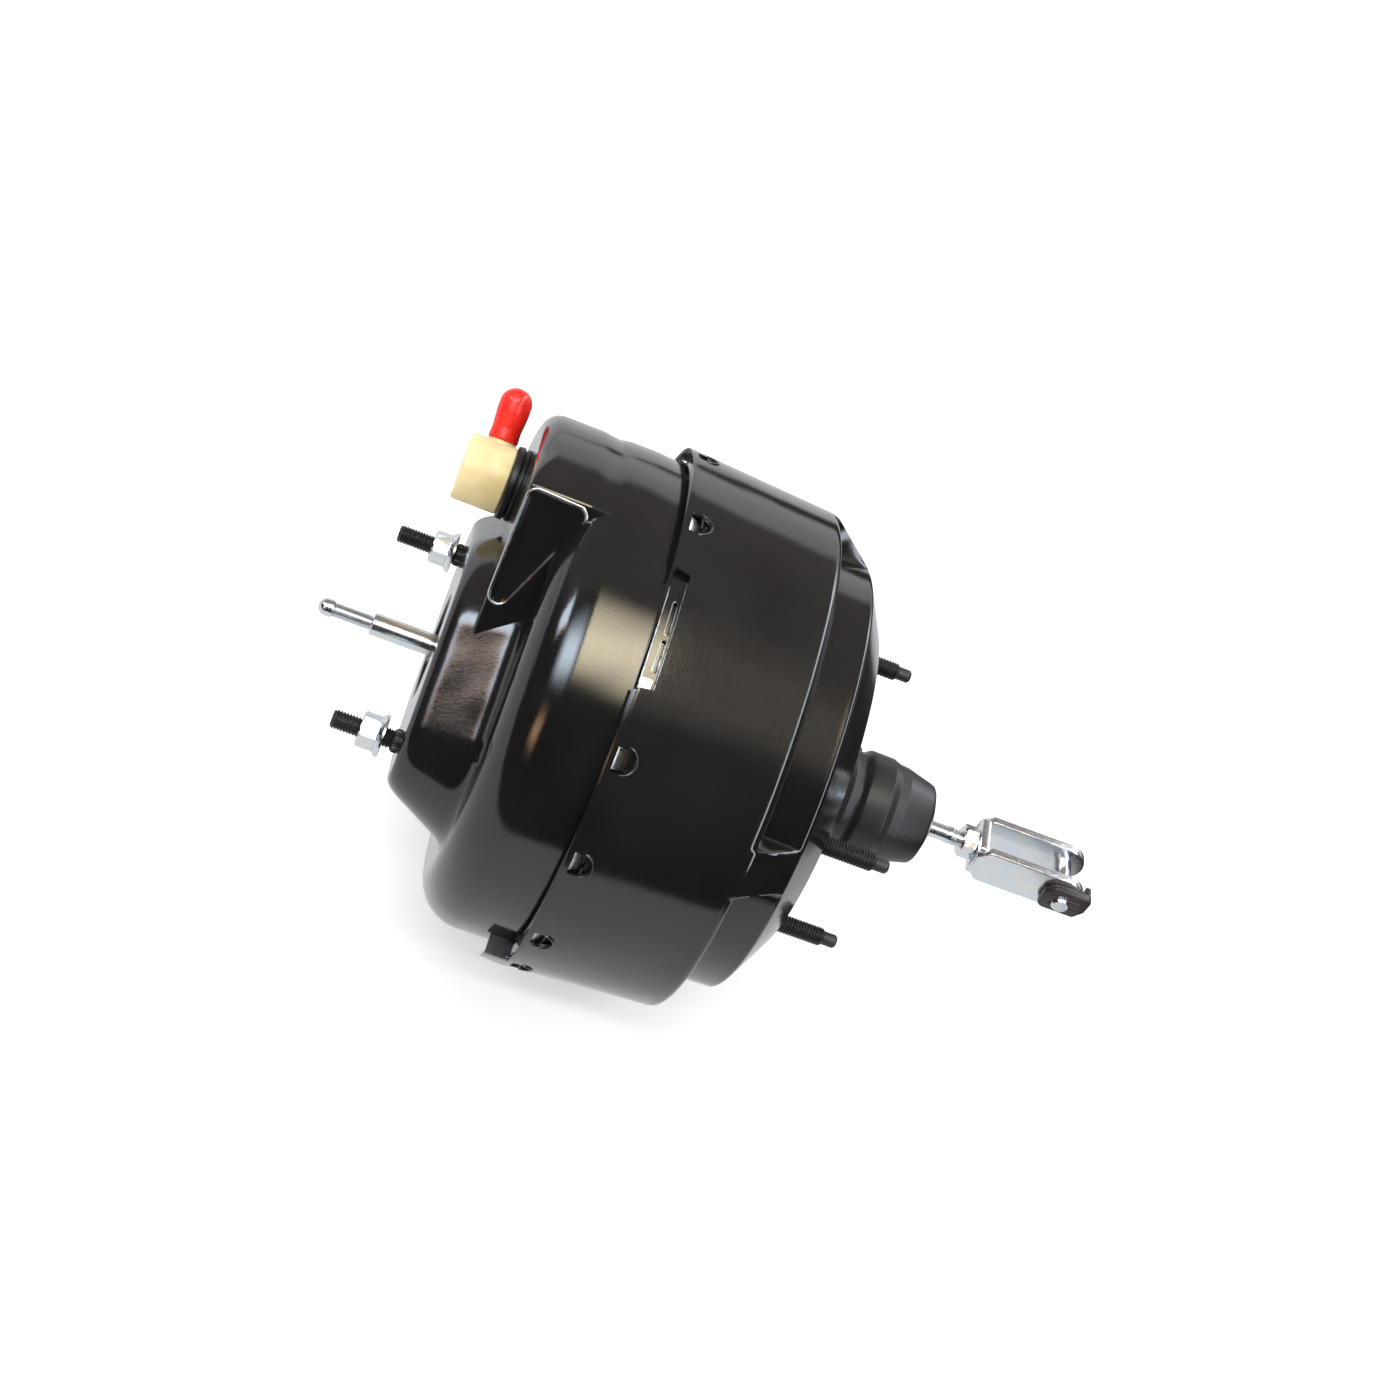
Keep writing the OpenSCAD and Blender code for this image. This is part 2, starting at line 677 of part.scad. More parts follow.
module rear_diaphragm() color(black_rubber) {
    wall = divider_cup_r + divider_bend + fold_gap - plate_wall;
    fold = -shoulder_x - fold_depth;
    diaphragm(rear_plate_x, tail_r, [[plate_r, -rear_plate_x + plate_dish, lip_bend],
        [plate_r, fold, lip_bend], [wall, fold, lip_bend], [wall, -rear_bead_x + bead / 2]], -rear_bead_x);
}

module front_diaphragm() color(black_rubber) {
    seat = front_plate_x + plate_wall;
    wall = divider_cup_r - divider_wall - plate_wall - rubber - 2 * fold_gap;
    diaphragm(seat, sleeve_r, [[wall, -seat + plate_dish, lip_bend + 1], [wall, -front_bead_x + bead / 2]],
        -front_bead_x);
}

// The stop key: its place, size, how far its slot reaches down and up, and its gaps
key_x = 24;
key_t = 3;
key_w = 14;
key_low = plunger_r + 4;
key_high = sleeve_r + 4;
key_gap = 0.1;
groove_r = nose_r + 0.4;
groove_gap = 0.2;

module key_block() translate([-key_x - key_t, -key_w / 2, -key_low]) cube([key_t, key_w, key_low + key_high]);

// Room round the plunger's rear end in the valve body, and its step
vacuum_port_w = 2.5;
vacuum_port_len = 8;
step_room = 2;

module valve_body() color(phenolic) difference() {
    bore_r = plunger_r + running;
    port_side_r = plunger_r + vacuum_port_w;
    turned([[0, -hub_x], [hub_r, -hub_x], [hub_r, -front_plate_x], [sleeve_r, -front_plate_x],
        [sleeve_r, -rear_plate_x - shoulder_t], [shoulder_r, -rear_plate_x - shoulder_t + shoulder_slope],
        [shoulder_r, -rear_plate_x], [tail_r, -rear_plate_x], [tail_r, tail_x], [0, tail_x]]);
    turned([[0, -hub_x - cut], [disc_r, -hub_x - cut], [disc_r, -disc_x], [nose_r + running, -disc_x],
        [nose_r + running, -plunger_step_x - step_room], [bore_r, -plunger_step_x - step_room],
        [bore_r, -valve_seat_x - vacuum_port_len], [port_side_r, -valve_seat_x - vacuum_port_len],
        [port_side_r, -valve_seat_x], [poppet_bore_r, -valve_seat_x - 1], [poppet_bore_r, tail_x + cut],
        [0, tail_x + cut]]);
    key_block();
}

module stop_key() color(bare_steel) difference() {
    slot_r = groove_r + key_gap;
    intersection() {
        key_block();
        rod(sleeve_r - 5 * key_gap, -key_x - key_t, -key_x);
    }
    rod(slot_r, -key_x - key_t - cut, -key_x + cut);
    translate([-key_x - key_t - cut, -slot_r, -key_low - cut])
        cube([key_t + 2 * cut, 2 * slot_r, key_low + cut]);
}

// The poppet's sealing face, against which the plunger's lip rests
poppet_x = -valve_seat_x + 1;
plunger_lip_w = 1.5;
plunger_lip_t = 3;
plunger_lip_slope = 2;

module plunger() color(zinc) difference() {
    groove_front = -key_x - key_t - groove_gap;
    groove_back = -key_x + valve_travel + groove_gap + key_gap;
    lip_r = plunger_r + plunger_lip_w;
    turned([[0, -disc_x + nose_gap], [nose_r, -disc_x + nose_gap], [nose_r, -plunger_step_x],
        [plunger_r, -plunger_step_x], [plunger_r, groove_front], [groove_r, groove_front],
        [groove_r, groove_back], [plunger_r, groove_back],
        [plunger_r, poppet_x - plunger_lip_t - plunger_lip_slope], [lip_r, poppet_x - plunger_lip_t],
        [lip_r, poppet_x], [0, poppet_x]]);
    rod(ball_r + running, -ball_x, 0);
    translate([-ball_x, 0, 0]) sphere(ball_r + running);
}

// The poppet: its hole, its face, its thin sleeve and the rim that the retainer holds
poppet_hole_r = 6;
poppet_t = 3;
poppet_gap = 0.7;
poppet_skin = 1.2;
poppet_rim_w = 2.5;
poppet_rim_t = 4;

module poppet_valve() color(black_rubber) {
    sleeve = poppet_bore_r - poppet_gap;
    rim_x = retainer_x - poppet_rim_t;
    turned([[poppet_hole_r, poppet_x], [sleeve, poppet_x], [sleeve, rim_x], [poppet_bore_r, rim_x],
        [poppet_bore_r, retainer_x], [poppet_bore_r - poppet_rim_w, retainer_x],
        [poppet_bore_r - poppet_rim_w, rim_x], [sleeve - poppet_skin, rim_x],
        [sleeve - poppet_skin, poppet_x + poppet_t], [poppet_hole_r, poppet_x + poppet_t]]);
}

retainer_hole_r = 7;
retainer_back_x = retainer_x - 1;
retainer_front_x = retainer_back_x - 2;

module poppet_retainer() color(bare_steel)
    ring(poppet_bore_r - poppet_rim_w, retainer_hole_r, retainer_front_x, retainer_back_x);

poppet_spring_r = poppet_bore_r - 4.1;
poppet_wire_r = 0.5;

module poppet_spring() color(zinc)
    coil(poppet_x + poppet_t, retainer_front_x, poppet_spring_r, poppet_spring_r, poppet_wire_r, 3);

// The collar on the input rod that the valve return spring pushes against
collar_w = 3.4;
rod_collar_r = rod_r + collar_w;
rod_collar_x = 24;
rod_collar_t = 1.5;
valve_spring_r = plunger_r;
valve_wire_r = 0.6;

module valve_return_spring() color(zinc)
    coil(retainer_back_x, rod_collar_x, valve_spring_r, rod_collar_r - valve_wire_r - 0.2, valve_wire_r, 4);

module air_filter() color(filter_felt) ring(poppet_bore_r, rod_r, filter_x, silencer_x);

module air_silencer() color(silencer_felt) ring(poppet_bore_r, rod_r, silencer_x, tail_x);

module rear_seal() color(black_rubber) ring(seal_r, tail_r + running, -rear_inner_x - seal_h, -rear_inner_x);

module reaction_disc() color(black_rubber) rod(disc_r, -disc_x - disc_t, -disc_x);

rod_chamfer = 0.6;
rod_flare_len = 4;

module output_rod() color(zinc) {
    shank_r = output_rod_d / 2;
    rod(disc_r - running, -hub_x, -disc_x - disc_t);
    turned([[0, -output_rod_x], [shank_r - rod_chamfer, -output_rod_x],
        [shank_r, -output_rod_x + rod_chamfer], [shank_r, -hub_x - rod_flare_len],
        [shank_r + rod_flare, -hub_x], [0, -hub_x]]);
}

// The screw's tip: a short drum under a low dome
tip_drum = 3.2;
tip_dome = 3.4;
dome_steps = 8;

module output_rod_tip() color(zinc) {
    tip_x = -output_rod_x - screw_len;
    step = 90 / dome_steps;
    rod(screw_d / 2, tip_x, -output_rod_x);
    turned(concat([[0, tip_x], [tip_d / 2, tip_x], [tip_d / 2, tip_x - tip_drum]],
        [for (i = [1:dome_steps]) [tip_d / 2 * cos(i * step), tip_x - tip_drum - tip_dome * sin(i * step)]]));
}

module return_spring() color(bare_steel)
    coil(-front_reinforcement_x, -front_plate_x - plate_wall, spring_front_r, spring_rear_r,
        spring_wire / 2, 4.5, 8, 24);

// Places of the boot's folds along the axis, and the lip turned in at its hole
boot_foot_x = neck_bend + 0.1;
bead_x = boot_foot_x + 2.4;
fold_start_x = boot_foot_x + 4;
fold_x = neck_len + 6;
waist_x = fold_x + 4.5;
belly_x = waist_x + 6.5;
taper_x = boot_len - 16;
boot_hole_r = rod_r + 4;
boot_lip = 4;

module boot() color(black_rubber) {
    foot_r = neck_r + boot_wall;
    turned(sheet([[foot_r, boot_foot_x], [foot_r, bead_x, 1], [boot_r, fold_start_x, 1], [boot_r, fold_x, 3],
        [boot_neck_r, waist_x, 4], [boot_r, belly_x, 5], [boot_r, taper_x, taper_bend],
        [boot_end_r, boot_len, 3], [boot_hole_r, boot_len, 1.8], [boot_hole_r, boot_len - boot_lip]],
        boot_wall));
}

// The input rod is necked down beside its ball, so that it can swing in the plunger
rod_neck = 0.6;
rod_neck_x = 2;
thread_end = 2;

module input_rod() color(zinc) {
    thread_x = jam_nut_x - rod_thread_len;
    translate([-ball_x, 0, 0]) sphere(ball_r);
    rod(rod_r - rod_neck, -ball_x, rod_neck_x);
    rod(rod_r, rod_neck_x - cut, thread_x);
    rod(thread_r, thread_x, clevis_x + clevis_t + thread_end);
    rod(rod_collar_r, rod_collar_x, rod_collar_x + rod_collar_t);
}

module jam_nut() color(zinc) hex_nut(nut_flats, jam_nut_x, clevis_x, thread_r + thread_gap);

// One side view of the clevis serves both ears: a bar with a round end and chamfered heels
module ear_outline() union() {
    top = clevis_h / 2;
    polygon([[clevis_x, heel - top], [clevis_x + heel, -top], [pin_x, -top], [pin_x, top],
        [clevis_x + heel, top], [clevis_x, top - heel]]);
    translate([pin_x, 0]) circle(top);
}

module clevis() color(zinc) difference() {
    union() {
        for (y = [-clevis_w / 2, clevis_in])
            translate([0, y + clevis_t, 0]) rotate([90, 0, 0]) linear_extrude(clevis_t) ear_outline();
        intersection() {
            translate([clevis_x, -clevis_in - cut, -clevis_h / 2])
                cube([clevis_t, 2 * clevis_in + 2 * cut, clevis_h]);
            translate([0, clevis_w / 2, 0]) rotate([90, 0, 0]) linear_extrude(clevis_w) ear_outline();
        }
    }
    rod(thread_r + thread_gap, clevis_x - cut, clevis_x + clevis_t + cut);
    translate([pin_x, 0, 0]) rotate([90, 0, 0])
        cylinder(r = pin_d / 2 + running, h = clevis_w + 2 * cut, center = true);
}

pin_head_w = 1.5;
pin_head_t = 2;
// The pin's end lies a little below the clip's face
pin_end_gap = 1;

module clevis_pin() color(zinc) translate([pin_x, 0, 0]) rotate([90, 0, 0]) {
    cylinder(r = pin_d / 2, h = clevis_w / 2 + clip_t - pin_end_gap);
    translate([0, 0, -clevis_w / 2]) cylinder(r = pin_d / 2, h = clevis_w / 2);
    translate([0, 0, -clevis_w / 2 - pin_head_t]) cylinder(r = pin_d / 2 + pin_head_w, h = pin_head_t);
}

clip_hook_t = 3;
clip_hook_over = 1.5;

// The clip snaps over the pin's end and hooks round the end of the ear
module pin_clip() color(black_rubber) difference() {
    end_x = pin_x + clevis_h / 2;
    union() {
        translate([end_x + clip_hook_t - clip_len, -clevis_w / 2 - clip_t, -clip_h / 2])
            cube([clip_len, clip_t, clip_h]);
        translate([end_x, -clevis_w / 2, -clip_h / 2]) cube([clip_hook_t, clevis_t + clip_hook_over, clip_h]);
    }
    translate([pin_x, -clevis_w / 2 + cut, 0]) rotate([90, 0, 0])
        cylinder(r = pin_d / 2, h = clip_t + 2 * cut);
}

module at_valve() clock(valve_angle) translate([0, valve_off, 0]) children();

valve_wall = 2;
port_r = 3;
seat_x = valve_x + 6;
valve_disc_t = 2;
valve_disc_r = 8;
valve_spring_wire_r = 0.4;
// The grommet's lip behind the sheet, and the valve's spigot that runs through it
platform_inner_x = -platform_x + shell_wall;
grommet_wall = 2;
grommet_lip = 5;
spigot_r = grommet_hole_r - grommet_wall;
spigot_x = platform_inner_x + grommet_lip + 3;
valve_edge = 0.8;
nipple_foot_w = 1.6;
// The closed end of the cap, which the nipple stops short of
cap_top = 3;

module check_valve_grommet() color(black_rubber) at_valve() turned([[spigot_r, -valve_x],
    [grommet_d / 2, -valve_x], [grommet_d / 2, -platform_x], [grommet_hole_r, -platform_x],
    [grommet_hole_r, platform_inner_x], [grommet_hole_r + grommet_wall, platform_inner_x],
    [grommet_hole_r, platform_inner_x + grommet_lip], [spigot_r, platform_inner_x + grommet_lip]]);

module at_nipple() rotate([-90, 0, 0]) translate([-nipple_x, 0, 0]) children();

module check_valve_body() color(nylon) at_valve() difference() {
    drum_r_out = valve_d / 2;
    room_r = drum_r_out - valve_wall;
    union() {
        turned([[0, -valve_front_x], [drum_r_out - valve_edge, -valve_front_x],
            [drum_r_out, -valve_front_x + valve_edge], [drum_r_out, -valve_x], [0, -valve_x]]);
        rod(spigot_r - running, -valve_x, spigot_x);
        at_nipple() cylinder(r = nipple_r, h = cap_foot + cap_len - cap_top);
        at_nipple() cylinder(r = nipple_r + nipple_foot_w, h = cap_foot);
    }
    turned([[0, -valve_front_x + valve_wall], [room_r, -valve_front_x + valve_wall], [room_r, -seat_x],
        [port_r, -seat_x], [port_r, spigot_x + cut], [0, spigot_x + cut]]);
    at_nipple() cylinder(r = port_r, h = cap_foot + cap_len);
}

module check_valve_disc() color(black_rubber) at_valve() rod(valve_disc_r, -seat_x - valve_disc_t, -seat_x);

module check_valve_spring() color(zinc) at_valve()
    coil(-valve_front_x + valve_wall, -seat_x - valve_disc_t, port_r + 2, port_r + 2, valve_spring_wire_r, 3);

// The cap is slightly narrower at its mouth, and its end is a dome
cap_mouth_in = 0.7;
cap_mouth_len = 2;
cap_full_share = 0.6;

module hose_cap() color(cap_red) at_valve() at_nipple() translate([0, 0, cap_foot]) difference() {
    full_r = cap_d / 2;
    dome_h = full_r - 0.5;
    mouth = full_r - cap_mouth_in;
    rotate_extrude() polygon(concat([[0, 0], [mouth, 0], [mouth, cap_mouth_len],
        [full_r, cap_len * cap_full_share]], [for (i = [0:9])
            [full_r * cos(i * 10), cap_len - dome_h + dome_h * sin(i * 10)]], [[0, cap_len]]));
    translate([0, 0, -cut]) cylinder(r = nipple_r + running, h = cap_len - cap_top + cut);
}

rear_shell();
front_shell();
centre_plate();
centre_seal();
front_diaphragm();
front_plate();
front_plate_ring();
rear_diaphragm();
rear_plate();
rear_plate_ring();
return_spring();
valve_body();
rear_seal();
plunger();
stop_key();
poppet_valve();
poppet_spring();
poppet_retainer();
valve_return_spring();
air_filter();
air_silencer();
reaction_disc();
output_rod();
output_rod_tip();
front_seal();
seal_retainer();
front_reinforcement();
rear_reinforcement();
front_studs();
front_nuts();
rear_studs();
check_valve_body();
check_valve_disc();
check_valve_spring();
check_valve_grommet();
hose_cap();
boot();
input_rod();
jam_nut();
clevis();
clevis_pin();
pin_clip();
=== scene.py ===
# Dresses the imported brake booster: stamped shells, threads, plated rods, rubber and plastics, and the studio.
# Geometry is written in millimetres, in the part's own frame: X towards the pedal, Z up on the car.
import json
import math

import bmesh
import bpy
import numpy as np
from mathutils import Matrix, Vector

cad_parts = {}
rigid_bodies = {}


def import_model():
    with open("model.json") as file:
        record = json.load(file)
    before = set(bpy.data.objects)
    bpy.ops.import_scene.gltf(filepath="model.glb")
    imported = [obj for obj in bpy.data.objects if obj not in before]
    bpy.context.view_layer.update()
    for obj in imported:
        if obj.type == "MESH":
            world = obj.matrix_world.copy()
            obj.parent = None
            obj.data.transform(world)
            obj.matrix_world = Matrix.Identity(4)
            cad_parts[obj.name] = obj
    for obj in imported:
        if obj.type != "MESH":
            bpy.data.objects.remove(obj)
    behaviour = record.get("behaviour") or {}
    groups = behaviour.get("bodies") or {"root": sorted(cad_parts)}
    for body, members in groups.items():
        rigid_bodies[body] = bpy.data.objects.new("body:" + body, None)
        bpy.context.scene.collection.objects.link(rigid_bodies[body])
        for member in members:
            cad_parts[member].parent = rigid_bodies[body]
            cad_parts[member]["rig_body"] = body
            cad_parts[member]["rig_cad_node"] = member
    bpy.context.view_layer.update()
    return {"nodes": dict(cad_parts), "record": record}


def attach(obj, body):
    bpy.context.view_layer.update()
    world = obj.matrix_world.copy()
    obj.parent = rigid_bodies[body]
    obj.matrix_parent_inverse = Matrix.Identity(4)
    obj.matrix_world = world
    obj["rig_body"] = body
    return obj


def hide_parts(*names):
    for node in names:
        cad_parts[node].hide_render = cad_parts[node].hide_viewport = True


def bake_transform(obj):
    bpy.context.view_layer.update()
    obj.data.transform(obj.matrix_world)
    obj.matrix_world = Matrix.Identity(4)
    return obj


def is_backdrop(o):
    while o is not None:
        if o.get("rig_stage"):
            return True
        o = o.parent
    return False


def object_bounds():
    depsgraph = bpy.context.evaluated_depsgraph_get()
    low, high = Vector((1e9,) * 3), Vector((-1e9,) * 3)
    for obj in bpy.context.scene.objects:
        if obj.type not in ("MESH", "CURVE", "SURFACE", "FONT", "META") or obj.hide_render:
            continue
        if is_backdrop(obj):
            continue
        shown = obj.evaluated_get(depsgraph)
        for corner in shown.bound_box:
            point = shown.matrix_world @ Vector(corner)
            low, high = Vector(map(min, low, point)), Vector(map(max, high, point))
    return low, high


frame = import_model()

MM = 0.001
HOUSING = "housing"
PISTON = "power_piston"

# The photograph's view: the part is rolled 45 degrees about its axis, and its front leans towards the camera
ROLL = math.radians(45)
LEAN = math.asin(0.153)
TILT = math.radians(20.3)
AIM_X = -55.7
AIM_UP = 17.2
DISTANCE = 966.0
FOCAL_PIXELS = 2300.0
FRAME_PIXELS = 1400.0
SENSOR = 36.0

# Housing sizes, as the solids have them. Clock angles start at +Y and turn about X
WALL, LIP_WALL = 2.2, 1.5
MOUTH_X, MOUTH_R = -98.0, 114.0
SHOULDER_X, DRUM_R = -31.4, 110.0
BELT_X, BELT_R = -12.1, 94.7
FACE_R = 74.0
NECK_R, NECK_X = 20.4, 8.0
NOTCH_X = -90.4
EAR = (206.0, 214.0)
EAR_X = -108.0
FRONT_R = 106.3
BAND_X, BAND_STEP = -95.5, 2.4
FLANGE_X, FLANGE_R = -89.9, 111.2
LOWER_X = -139.6
LOWER_BEND = 20.0
SEAT_X = -168.4
BOSS_R, BOSS_END_R, BOSS_END_Y = 48.0, 22.0, 50.0
BOSS_SLOPE = 0.52
PLATFORM_X = -157.8
PLATFORM_HALF = 48.5
PLATFORM_FLARE = math.tan(math.radians(23.7))
PLATFORM_R = 107.6
POCKET = ((9.5, -157.3), (71.4, -157.3), (70.2, -131.0))
POCKET_BEND, POCKET_DEPTH = 4.0, 0.7
PILOT_R, PILOT_FLOOR_X, ROD_HOLE_R = 22.0, -152.0, 7.75
VALVE_CLOCK = 45.0
VALVE_OFF = 74.1
LANCES = (60, 90, 142, 165, 189.5, 209, 234, 260, 286, 312, 338, 4, 32)
PADS = (53, 156, 259, 336)
PAD_SPAN = 11.5
NOTCH = (103.0, 127.7)
DIMPLE_CLOCK, DIMPLE_OFF, DIMPLE_R, DIMPLE_DEPTH = 156.0, 84.0, 7.0, 0.9

# The strip in the notch and its two slots, as clock angles and places along X
STRIP = (102, 128.8)
SLOTS = ((109, 116.4), (117.4, 124.2))
STRIP_FRONT, SLOT_X, STRIP_BACK = -96.4, (-93.4, -91.4), -89.8

# Places of the studs, the nipple and the clevis pin
STUD_Y = 56
REAR_Y, REAR_Z = 55, 27
NIPPLE_X = -170.5
PIN_X = 119

# What gloss sees of the studio: the dark room's colour, and light panels in it. Each panel has its range
# and softness round the X axis, in degrees from the viewer's side down, then along X, and its light
ROOM = (0.035, 0.034, 0.036)
PANELS = (
    ((-40, -13, 24), (0.03, 0.185, 0.06), (11.0, 9.7, 6.9)),
    ((-46, -8, 20), (0.20, 0.42, 0.14), (0.55, 0.46, 0.38)),
    ((-31, -9, 22), (-0.60, -0.06, 0.26), (8.5, 9.8, 11.2)),
    ((-52, -36.9, 2.4), (-0.86, -0.68, 0.06), (8.5, 9.8, 11.5)),
    ((-36.4, -34.9, 1.4), (-0.86, -0.68, 0.06), (9.0, 5.2, 3.0)),
    ((12, 26, 12), (-0.60, -0.36, 0.14), (4.0, 2.3, 1.3)),
    ((-112, -46, 14), (-0.9, 0.9, 0.2), (0.26, 0.22, 0.20)),
    ((-136, -112, 6), (-1.2, 1.2, 0.1), (0.95, 0.95, 0.97)),
    ((-110, 90, 20), (0.44, 0.62, 0.08), (6.0, 6.3, 7.0)),
)

# The sheet under the part, which only gloss sees: its corner on the floor, soft border and colour. Then the
# floor's own glow for the camera, and its gap under the part
SHEET_X, SHEET_Y, SHEET_SOFT = 0.19, -0.47, 0.03
SHEET = (0.80, 0.82, 0.84)
FLOOR_GLOW = 0.42
FLOOR_GAP = 0.0006

# The world's even light on the part, and the point that the lamps face, in metres
FILL = 0.55
LAMP_AIM = (-0.06, 0, 0)


# Meshes

def add(name, data):
    """An object with this data, in the scene."""
    obj = bpy.data.objects.new(name, data)
    bpy.context.scene.collection.objects.link(obj)
    return obj


def make(name, verts, faces, sharp=35.0):
    """A mesh object from points in millimetres, smooth but for edges sharper than an angle."""
    mesh = bpy.data.meshes.new(name)
    mesh.from_pydata((np.asarray(verts, float) * MM).tolist(), [], [list(f) for f in faces])
    mesh.validate()
    obj = add(name, mesh)
    finish_normals(obj, sharp)
    return obj


def finish_normals(obj, sharp):
    """Outward faces, smooth shading and sharp edges by angle."""
    bm = bmesh.new()
    bm.from_mesh(obj.data)
    bmesh.ops.recalc_face_normals(bm, faces=bm.faces)
    bm.to_mesh(obj.data)
    bm.free()
    smooth_shading(obj, sharp)


def smooth_shading(obj, sharp):
    """Smooth shading but for edges sharper than an angle."""
    obj.data.polygons.foreach_set("use_smooth", [True] * len(obj.data.polygons))
    obj.data.set_sharp_from_angle(angle=math.radians(sharp))


def quads(rows, cols, wrap_rows=False):
    """Faces of a grid whose point (row, col) is number row * cols + col. Each row is a closed ring."""
    faces = []
    for r in range(rows if wrap_rows else rows - 1):
        low, high = r * cols, (r + 1) % rows * cols
        for c in range(cols):
            after = (c + 1) % cols
            faces.append((low + c, low + after, high + after, high + c))
    return faces


def ends(rows, cols):
    """The two faces that close the first and the last row of a grid."""
    return [list(range(cols))[::-1], list(range((rows - 1) * cols, rows * cols))]


def corner(a, b, c, radius, steps):
    """The arc that rounds corner b."""
    a, b, c = (np.array(p, float) for p in (a, b, c))
    u, w = (a - b) / np.linalg.norm(a - b), (c - b) / np.linalg.norm(c - b)
    half = math.acos(max(-1.0, min(1.0, float(u @ w)))) / 2
    if radius <= 0 or half > 1.56:
        return [tuple(b)]
    centre = b + (u + w) / np.linalg.norm(u + w) * radius / math.sin(half)
    start = b + u * radius / math.tan(half) - centre
    stop = b + w * radius / math.tan(half) - centre
    a0 = math.atan2(start[1], start[0])
    turn = math.atan2(stop[1], stop[0]) - a0
    turn = (turn + math.pi) % (2 * math.pi) - math.pi
    turns = [a0 + turn * i / steps for i in range(steps + 1)]
    return [tuple(centre + radius * np.array([math.cos(a), math.sin(a)])) for a in turns]


def bent(points, steps=6, closed=False):
    """A line of (x, y, radius) points with rounded corners."""
    out = []
    count = len(points)
    for i, p in enumerate(points):
        radius = p[2] if len(p) > 2 else 0
        if radius <= 0 or (not closed and i in (0, count - 1)):
            out.append((p[0], p[1]))
        else:
            out += corner(points[i - 1][:2], p[:2], points[(i + 1) % count][:2], radius, steps)
    return out


def around(x, r, turn):
    """The point at a place along the axis, a radius and a turn."""
    return x, r * math.cos(turn), r * math.sin(turn)


def on_arc(x, r, degrees):
    """The point at a place along the axis, a radius and a clock angle."""
    return around(x, r, math.radians(degrees))


def revolve(name, profile, cols=128, closed=True, sharp=35.0):
    """Turns (x, r) points about X. Points on the axis are joined into one."""
    verts, rows = [], []
    for x, r in profile:
        if r < 1e-6:
            rows.append([len(verts)] * cols)
            verts.append((x, 0.0, 0.0))
        else:
            rows.append(list(range(len(verts), len(verts) + cols)))
            verts += [around(x, r, 2 * math.pi * c / cols) for c in range(cols)]
    faces = []
    pairs = list(zip(rows, rows[1:])) + ([(rows[-1], rows[0])] if closed else [])
    for low, high in pairs:
        for c in range(cols):
            face = [low[c], low[(c + 1) % cols], high[(c + 1) % cols], high[c]]
            face = [v for k, v in enumerate(face) if v != face[k - 1]]
            if len(face) > 2:
                faces.append(face)
    return make(name, verts, faces, sharp)


def turned(name, profile, cols, steps=3, sharp=35.0):
    """A solid turned about X from (x, r, radius) points that start and end on the axis."""
    return revolve(name, bent(profile, steps), cols, closed=False, sharp=sharp)


def prism(name, outline, low, high, edge):
    """Pushes an outline of (y, z) points along X between low and high, with rounded edges."""
    steps = 3
    ring = np.array(outline, float)
    if polygon_area(ring) < 0:
        ring = ring[::-1]
    before, after = np.roll(ring, 1, 0), np.roll(ring, -1, 0)
    u = (ring - before) / np.linalg.norm(ring - before, axis=1)[:, None]
    w = (after - ring) / np.linalg.norm(after - ring, axis=1)[:, None]
    normal = np.stack([u[:, 1] + w[:, 1], -(u[:, 0] + w[:, 0])], 1)
    normal /= (np.linalg.norm(normal, axis=1) ** 2)[:, None] / 2
    turns = [math.pi / 2 * i / steps for i in range(steps + 1)]
    levels = [(edge - edge * math.sin(t), edge - edge * math.cos(t)) for t in turns]
    levels = [(s, low + h) for s, h in levels] + [(s, high - h) for s, h in reversed(levels)]
    verts = []
    for shrink, lift in levels:
        verts += [(lift, y, z) for y, z in ring - normal * shrink]
    cols = len(ring)
    return make(name, verts, quads(len(levels), cols) + ends(len(levels), cols), 40)


def polygon_area(ring):
    """The area inside a ring of points, below zero when it runs clockwise."""
    y, z = ring[:, 0], ring[:, 1]
    return 0.5 * float(np.sum(y * np.roll(z, -1) - np.roll(y, -1) * z))


def tube(name, path, radius, sides=8, closed=False):
    """A round bead along a path of points."""
    path = np.array(path, float)
    ahead = np.roll(path, -1, 0) - np.roll(path, 1, 0)
    if not closed:
        ahead[0], ahead[-1] = path[1] - path[0], path[-1] - path[-2]
    verts = []
    side = None
    for point, way in zip(path, ahead):
        way = way / np.linalg.norm(way)
        if side is None:
            side = np.cross(way, (0.3, 0.5, 0.8))
        side = side - way * (side @ way)
        side = side / np.linalg.norm(side)
        up = np.cross(way, side)
        for k in range(sides):
            a = 2 * math.pi * k / sides
            verts.append(point + radius * (math.cos(a) * side + math.sin(a) * up))
    faces = quads(len(path), sides, wrap_rows=closed)
    if not closed:
        faces += ends(len(path), sides)
    return make(name, verts, faces, 60)


